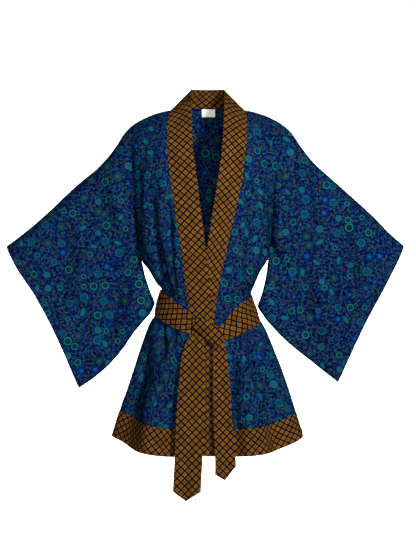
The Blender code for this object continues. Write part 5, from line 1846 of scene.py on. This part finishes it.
def label_grid(back):
    """The label on the inner side of the back."""
    top = NECK["seam_z"][-1] - LABEL_BELOW_SEAM
    upper_rows = back[:ARM_ROWS // 2, FRONT_COLUMNS:-FRONT_COLUMNS]
    columns_x = np.linspace(-LABEL_WIDE / 2, LABEL_WIDE / 2, LABEL_COLUMNS + 1) + LABEL_MIDDLE
    grid = []
    for z in np.linspace(top, top - LABEL_HIGH, LABEL_ROWS + 1):
        row = []
        for x in columns_x:
            line_z = [np.interp(x, line[:, 0], line[:, 2]) for line in upper_rows[::-1]]
            line_y = [np.interp(x, line[:, 0], line[:, 1]) for line in upper_rows[::-1]]
            row.append([x, np.interp(z, line_z, line_y) - LABEL_INSET, z])
        grid.append(row)
    return np.array(grid)


label = label_grid(back)
cloth("label", LABEL_THICK, [(label, panel_cut(label, 0))], label_satin, faces_front)
print("label is", LABEL_WIDE * 1000, "by", LABEL_HIGH * 1000, "mm")

# %% [markdown]
# ## Stitching
#
# The neck band and the hem bands are stitched close to one edge, the sash along both, the cuffs are turned
# in and stitched a little under a centimetre from the edge, and the label is stitched all round. A stitch
# is a short round thread that dips into the cloth at both ends, so it is drawn as a slim egg, half sunk.
# There are far too many to place by hand, so a Geometry Nodes tree lays them along the seam lines. Real
# ones are 2.5 mm long and 0.3 mm thick; they are drawn a little longer and twice as thick, so that they
# show.

# %% Seam lines
FIRST = np.s_[:, 1]
LAST = np.s_[:, -2]
CUFF_RING = -3


def stitch_line(grid, outward, thick, line):
    """Points of one row or column of a grid, on the outer face of its cloth."""
    return (grid + outer_normals(grid, outward) * thick / 2)[line]


def seam_lines_object(name, lines):
    """The seam lines of one thread as a mesh of edges."""
    starts = np.concatenate([[0], np.cumsum([len(line) for line in lines])])
    edges = [(a, a + 1) for start, end in zip(starts[:-1], starts[1:]) for a in range(start, end - 1)]
    mesh = bpy.data.meshes.new(name)
    mesh.from_pydata(np.concatenate(lines).tolist(), edges, [])
    return added(name, mesh)


ochre_lines = [stitch_line(band, faces_from_axis, BAND_THICK, FIRST)]
ochre_lines += [stitch_line(strip, outwards[name], HEM_THICK, FIRST) for name, strip in hem_strips.items()]
ochre_lines += [stitch_line(waist, faces_from_axis, SASH_THICK, edge) for edge in (FIRST, LAST)]
for grid in ends.values():
    ochre_lines += [stitch_line(grid, faces_front, SASH_THICK, edge) for edge in (FIRST, LAST)]
navy_lines = []
for layers in (left_sleeve, right_sleeve):
    navy_lines.append(stitch_line(layers[0], faces_front, VISCOSE_THICK, CUFF_RING))
    navy_lines.append(stitch_line(layers[1], faces_back, VISCOSE_THICK, CUFF_RING))
white_lines = [stitch_line(label, faces_front, LABEL_THICK, line) for line in (FIRST, LAST, 1, -2)]
print("seam lines:", len(ochre_lines), len(navy_lines), len(white_lines))

# %% [markdown]
# ## Laying the stitches
#
# The tree turns the seam lines into curves, marks points along them a stitch and a gap apart, and lays one
# slim egg at each, turned along the seam. A machine's stitches are nearly alike, so their sizes differ by a
# tenth or so. The egg is one wide before it is scaled, so its scale is its real size.

# %% Stitch tree
STITCH_LONG = 0.0030
STITCH_THICK = 0.0006
STITCH_GAP = 0.0014
STITCH_SEED = 7
STITCH_SIDES = 6
STITCH_RINGS = 4
STITCH_SIZES = (0.88, 1.08)


def stitch_tree(thread):
    """Geometry nodes that lay stitches of one thread along seam lines."""
    tree = bpy.data.node_groups.new("stitches in " + thread.name, "GeometryNodeTree")
    ports = tree.interface
    ports.new_socket("Seam Lines", in_out="INPUT", socket_type="NodeSocketGeometry")
    for name in ("Stitch Length", "Thread Thickness", "Gap"):
        ports.new_socket(name, in_out="INPUT", socket_type="NodeSocketFloat")
    ports.new_socket("Seed", in_out="INPUT", socket_type="NodeSocketInt")
    ports.new_socket("Stitches", in_out="OUTPUT", socket_type="NodeSocketGeometry")
    given = put(tree, "NodeGroupInput")

    lines = put(tree, "GeometryNodeMeshToCurve", None, {"Mesh": given["Seam Lines"]})[0]
    step = put(tree, "ShaderNodeMath", {"operation": "ADD"}, {0: given["Stitch Length"], 1: given["Gap"]})[0]
    places = put(tree, "GeometryNodeResampleCurve", {"mode": "LENGTH"}, {"Curve": lines, "Length": step})[0]
    along = put(tree, "FunctionNodeAlignRotationToVector", {"axis": "Z"},
                {"Vector": put(tree, "GeometryNodeInputTangent")[0]})[0]
    egg = put(tree, "GeometryNodeMeshUVSphere", None,
              {"Segments": STITCH_SIDES, "Rings": STITCH_RINGS, "Radius": 0.5})[0]
    slim = put(tree, "ShaderNodeCombineXYZ", None, {
        0: given["Thread Thickness"], 1: given["Thread Thickness"], 2: given["Stitch Length"],
    })[0]
    stitch = put(tree, "GeometryNodeTransform", None, {"Geometry": egg, "Scale": slim})[0]
    uneven = put(tree, "FunctionNodeRandomValue", {"data_type": "FLOAT"},
                 {2: STITCH_SIZES[0], 3: STITCH_SIZES[1], "Seed": given["Seed"]})[1]
    laid = put(tree, "GeometryNodeInstanceOnPoints", None,
               {"Points": places, "Instance": stitch, "Rotation": along, "Scale": uneven})[0]
    real = put(tree, "GeometryNodeRealizeInstances", None, {"Geometry": laid})[0]
    dyed = put(tree, "GeometryNodeSetMaterial", None, {"Geometry": real, "Material": thread})[0]
    put(tree, "NodeGroupOutput", None, {"Stitches": dyed})
    return tree


def stitches(name, lines, thread):
    """Plain mesh of the stitches along seam lines."""
    base = seam_lines_object(name + "_lines", lines)
    tree = stitch_tree(thread)
    sewing = base.modifiers.new("sewing", "NODES")
    sewing.node_group = tree
    socket_of = {item.name: item.identifier for item in tree.interface.items_tree if item.in_out == "INPUT"}
    sewing[socket_of["Stitch Length"]] = STITCH_LONG
    sewing[socket_of["Thread Thickness"]] = STITCH_THICK
    sewing[socket_of["Gap"]] = STITCH_GAP
    sewing[socket_of["Seed"]] = STITCH_SEED
    bpy.context.view_layer.update()
    evaluated = base.evaluated_get(bpy.context.evaluated_depsgraph_get())
    mesh = bpy.data.meshes.new_from_object(evaluated)
    mesh.name = name
    mesh.shade_smooth()
    made = added(name, mesh)
    bpy.data.objects.remove(base)
    print(name, "triangles:", sum(len(face.vertices) - 2 for face in mesh.polygons))
    return made


sewn_threads = {
    "lattice": stitches("lattice_stitches", ochre_lines, ochre_thread),
    "floral": stitches("cuff_stitches", navy_lines, navy_thread),
    "label": stitches("label_stitches", white_lines, white_thread),
}
for slot, sewing in sewn_threads.items():
    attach(sewing, "root")

# %% [markdown]
# ## Which solid each cloth stands for
#
# Each sheet replaces its solid, which is hidden, and rides on the robe's only body.

# %% Frame and sheets
SOLIDS_OF = {
    "sleeve_right": ("sleeve_right_front", "sleeve_right_back"),
    "sleeve_left": ("sleeve_left_front", "sleeve_left_back"),
    "neck_band": ("neck_band_right", "neck_band_back_right", "neck_band_back_left", "neck_band_left"),
}


for name, piece in pieces.items():
    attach(piece, "root")
    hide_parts(*SOLIDS_OF.get(name, (name,)))

# %% [markdown]
# ## Studio
#
# The robe hangs in a large pale bowl, whose floor runs up into its wall with no corner, so no line shows
# behind the cloth. The bowl is a turned profile: a flat floor, a quarter circle and an upright wall.

# %% Bowl
FLOOR_Z = -1.36
FLOOR_RINGS = (1.5, 3.0)
FLOOR_FLAT = 4.6
BOWL_ROUND = 2.4
BOWL_STEPS = 12
BOWL_SEGMENTS = 96
WALL_HIGH = 3.0
BOWL_ROUGH = 0.9

profile = [(reach, FLOOR_Z) for reach in FLOOR_RINGS]
for step in range(BOWL_STEPS + 1):
    turn = math.pi / 2 * step / BOWL_STEPS
    profile.append((FLOOR_FLAT + BOWL_ROUND * math.sin(turn), FLOOR_Z + BOWL_ROUND * (1 - math.cos(turn))))
profile.append((FLOOR_FLAT + BOWL_ROUND, FLOOR_Z + BOWL_ROUND + WALL_HIGH))
bowl_points = [(0.0, 0.0, FLOOR_Z)]
for reach, high in profile:
    for step in range(BOWL_SEGMENTS):
        turn = 2 * math.pi * step / BOWL_SEGMENTS
        bowl_points.append((reach * math.cos(turn), reach * math.sin(turn), high))
bowl_faces = []
for step in range(BOWL_SEGMENTS):
    ahead = (step + 1) % BOWL_SEGMENTS
    bowl_faces.append((0, 1 + step, 1 + ahead))
    for ring in range(len(profile) - 1):
        a = 1 + ring * BOWL_SEGMENTS
        bowl_faces.append((a + step, a + BOWL_SEGMENTS + step, a + BOWL_SEGMENTS + ahead, a + ahead))
mesh = bpy.data.meshes.new("studio_bowl")
mesh.from_pydata(bowl_points, [], bowl_faces)
mesh.shade_smooth()
painted, tree, shader = new_material("studio_white")
fill(tree, shader, {"Base Color": linear("#b8b8b7"), "Roughness": BOWL_ROUGH})
mesh.materials.append(painted)
bowl = added("studio_bowl", mesh)
print("floor at", FLOOR_Z, "m")

# %% [markdown]
# ## Lamps
#
# The key lamp stands in front on the viewer's right, a little above the robe, and a weaker fill beside the
# camera. Both carry grids, so that their light stays on the robe. Two lamps light its back, and three
# washes make the wall and the floor behind it white, as in a shop's picture.

# %% Lamps
# Name, power in watts, size, place, aim, spread in degrees.
LAMPS = (
    ("key", 24.2, 0.5, (1.55, -3.78, 0.65), (0.0, 0.0, -0.26), 60),
    ("fill", 10.6, 0.9, (0.1, -4.2, 0.1), (0.0, 0.0, -0.2), 60),
    ("back left", 9.0, 1.2, (-1.0, 3.6, 2.0), (0.0, 0.0, -0.4), 60),
    ("back right", 9.0, 1.2, (1.0, 3.6, 2.0), (0.0, 0.0, -0.4), 60),
    ("left wall wash", 200.0, 1.6, (-1.9, 1.4, 2.7), (-0.4, 5.6, -0.6), 72),
    ("right wall wash", 200.0, 1.6, (1.9, 1.4, 2.7), (0.4, 5.6, -0.6), 72),
    ("floor wash", 90.0, 1.4, (0.0, 2.5, 2.1), (0.0, 2.7, -1.36), 80),
)
ROOM_LIGHT = 0.08


def lamp(name, power, size, place, aim, spread):
    """A square soft lamp that looks at a point, with a grid on its front that narrows its spread."""
    light = bpy.data.lights.new(name, "AREA")
    light.energy = power
    light.size = size
    light.spread = math.radians(spread)
    made = added(name, light)
    made.location = place
    way = mathutils.Vector(aim) - mathutils.Vector(place)
    made.rotation_euler = way.to_track_quat("-Z", "Y").to_euler()


for row in LAMPS:
    lamp(*row)
world = bpy.data.worlds.new("studio")
world.use_nodes = True
room = world.node_tree.nodes["Background"]
fill(world.node_tree, room, {"Color": linear("#ffffff"), "Strength": ROOM_LIGHT})
bpy.context.scene.world = world
bpy.context.scene.view_settings.view_transform = "Standard"
print("lamps:", len(LAMPS), "room light:", ROOM_LIGHT)
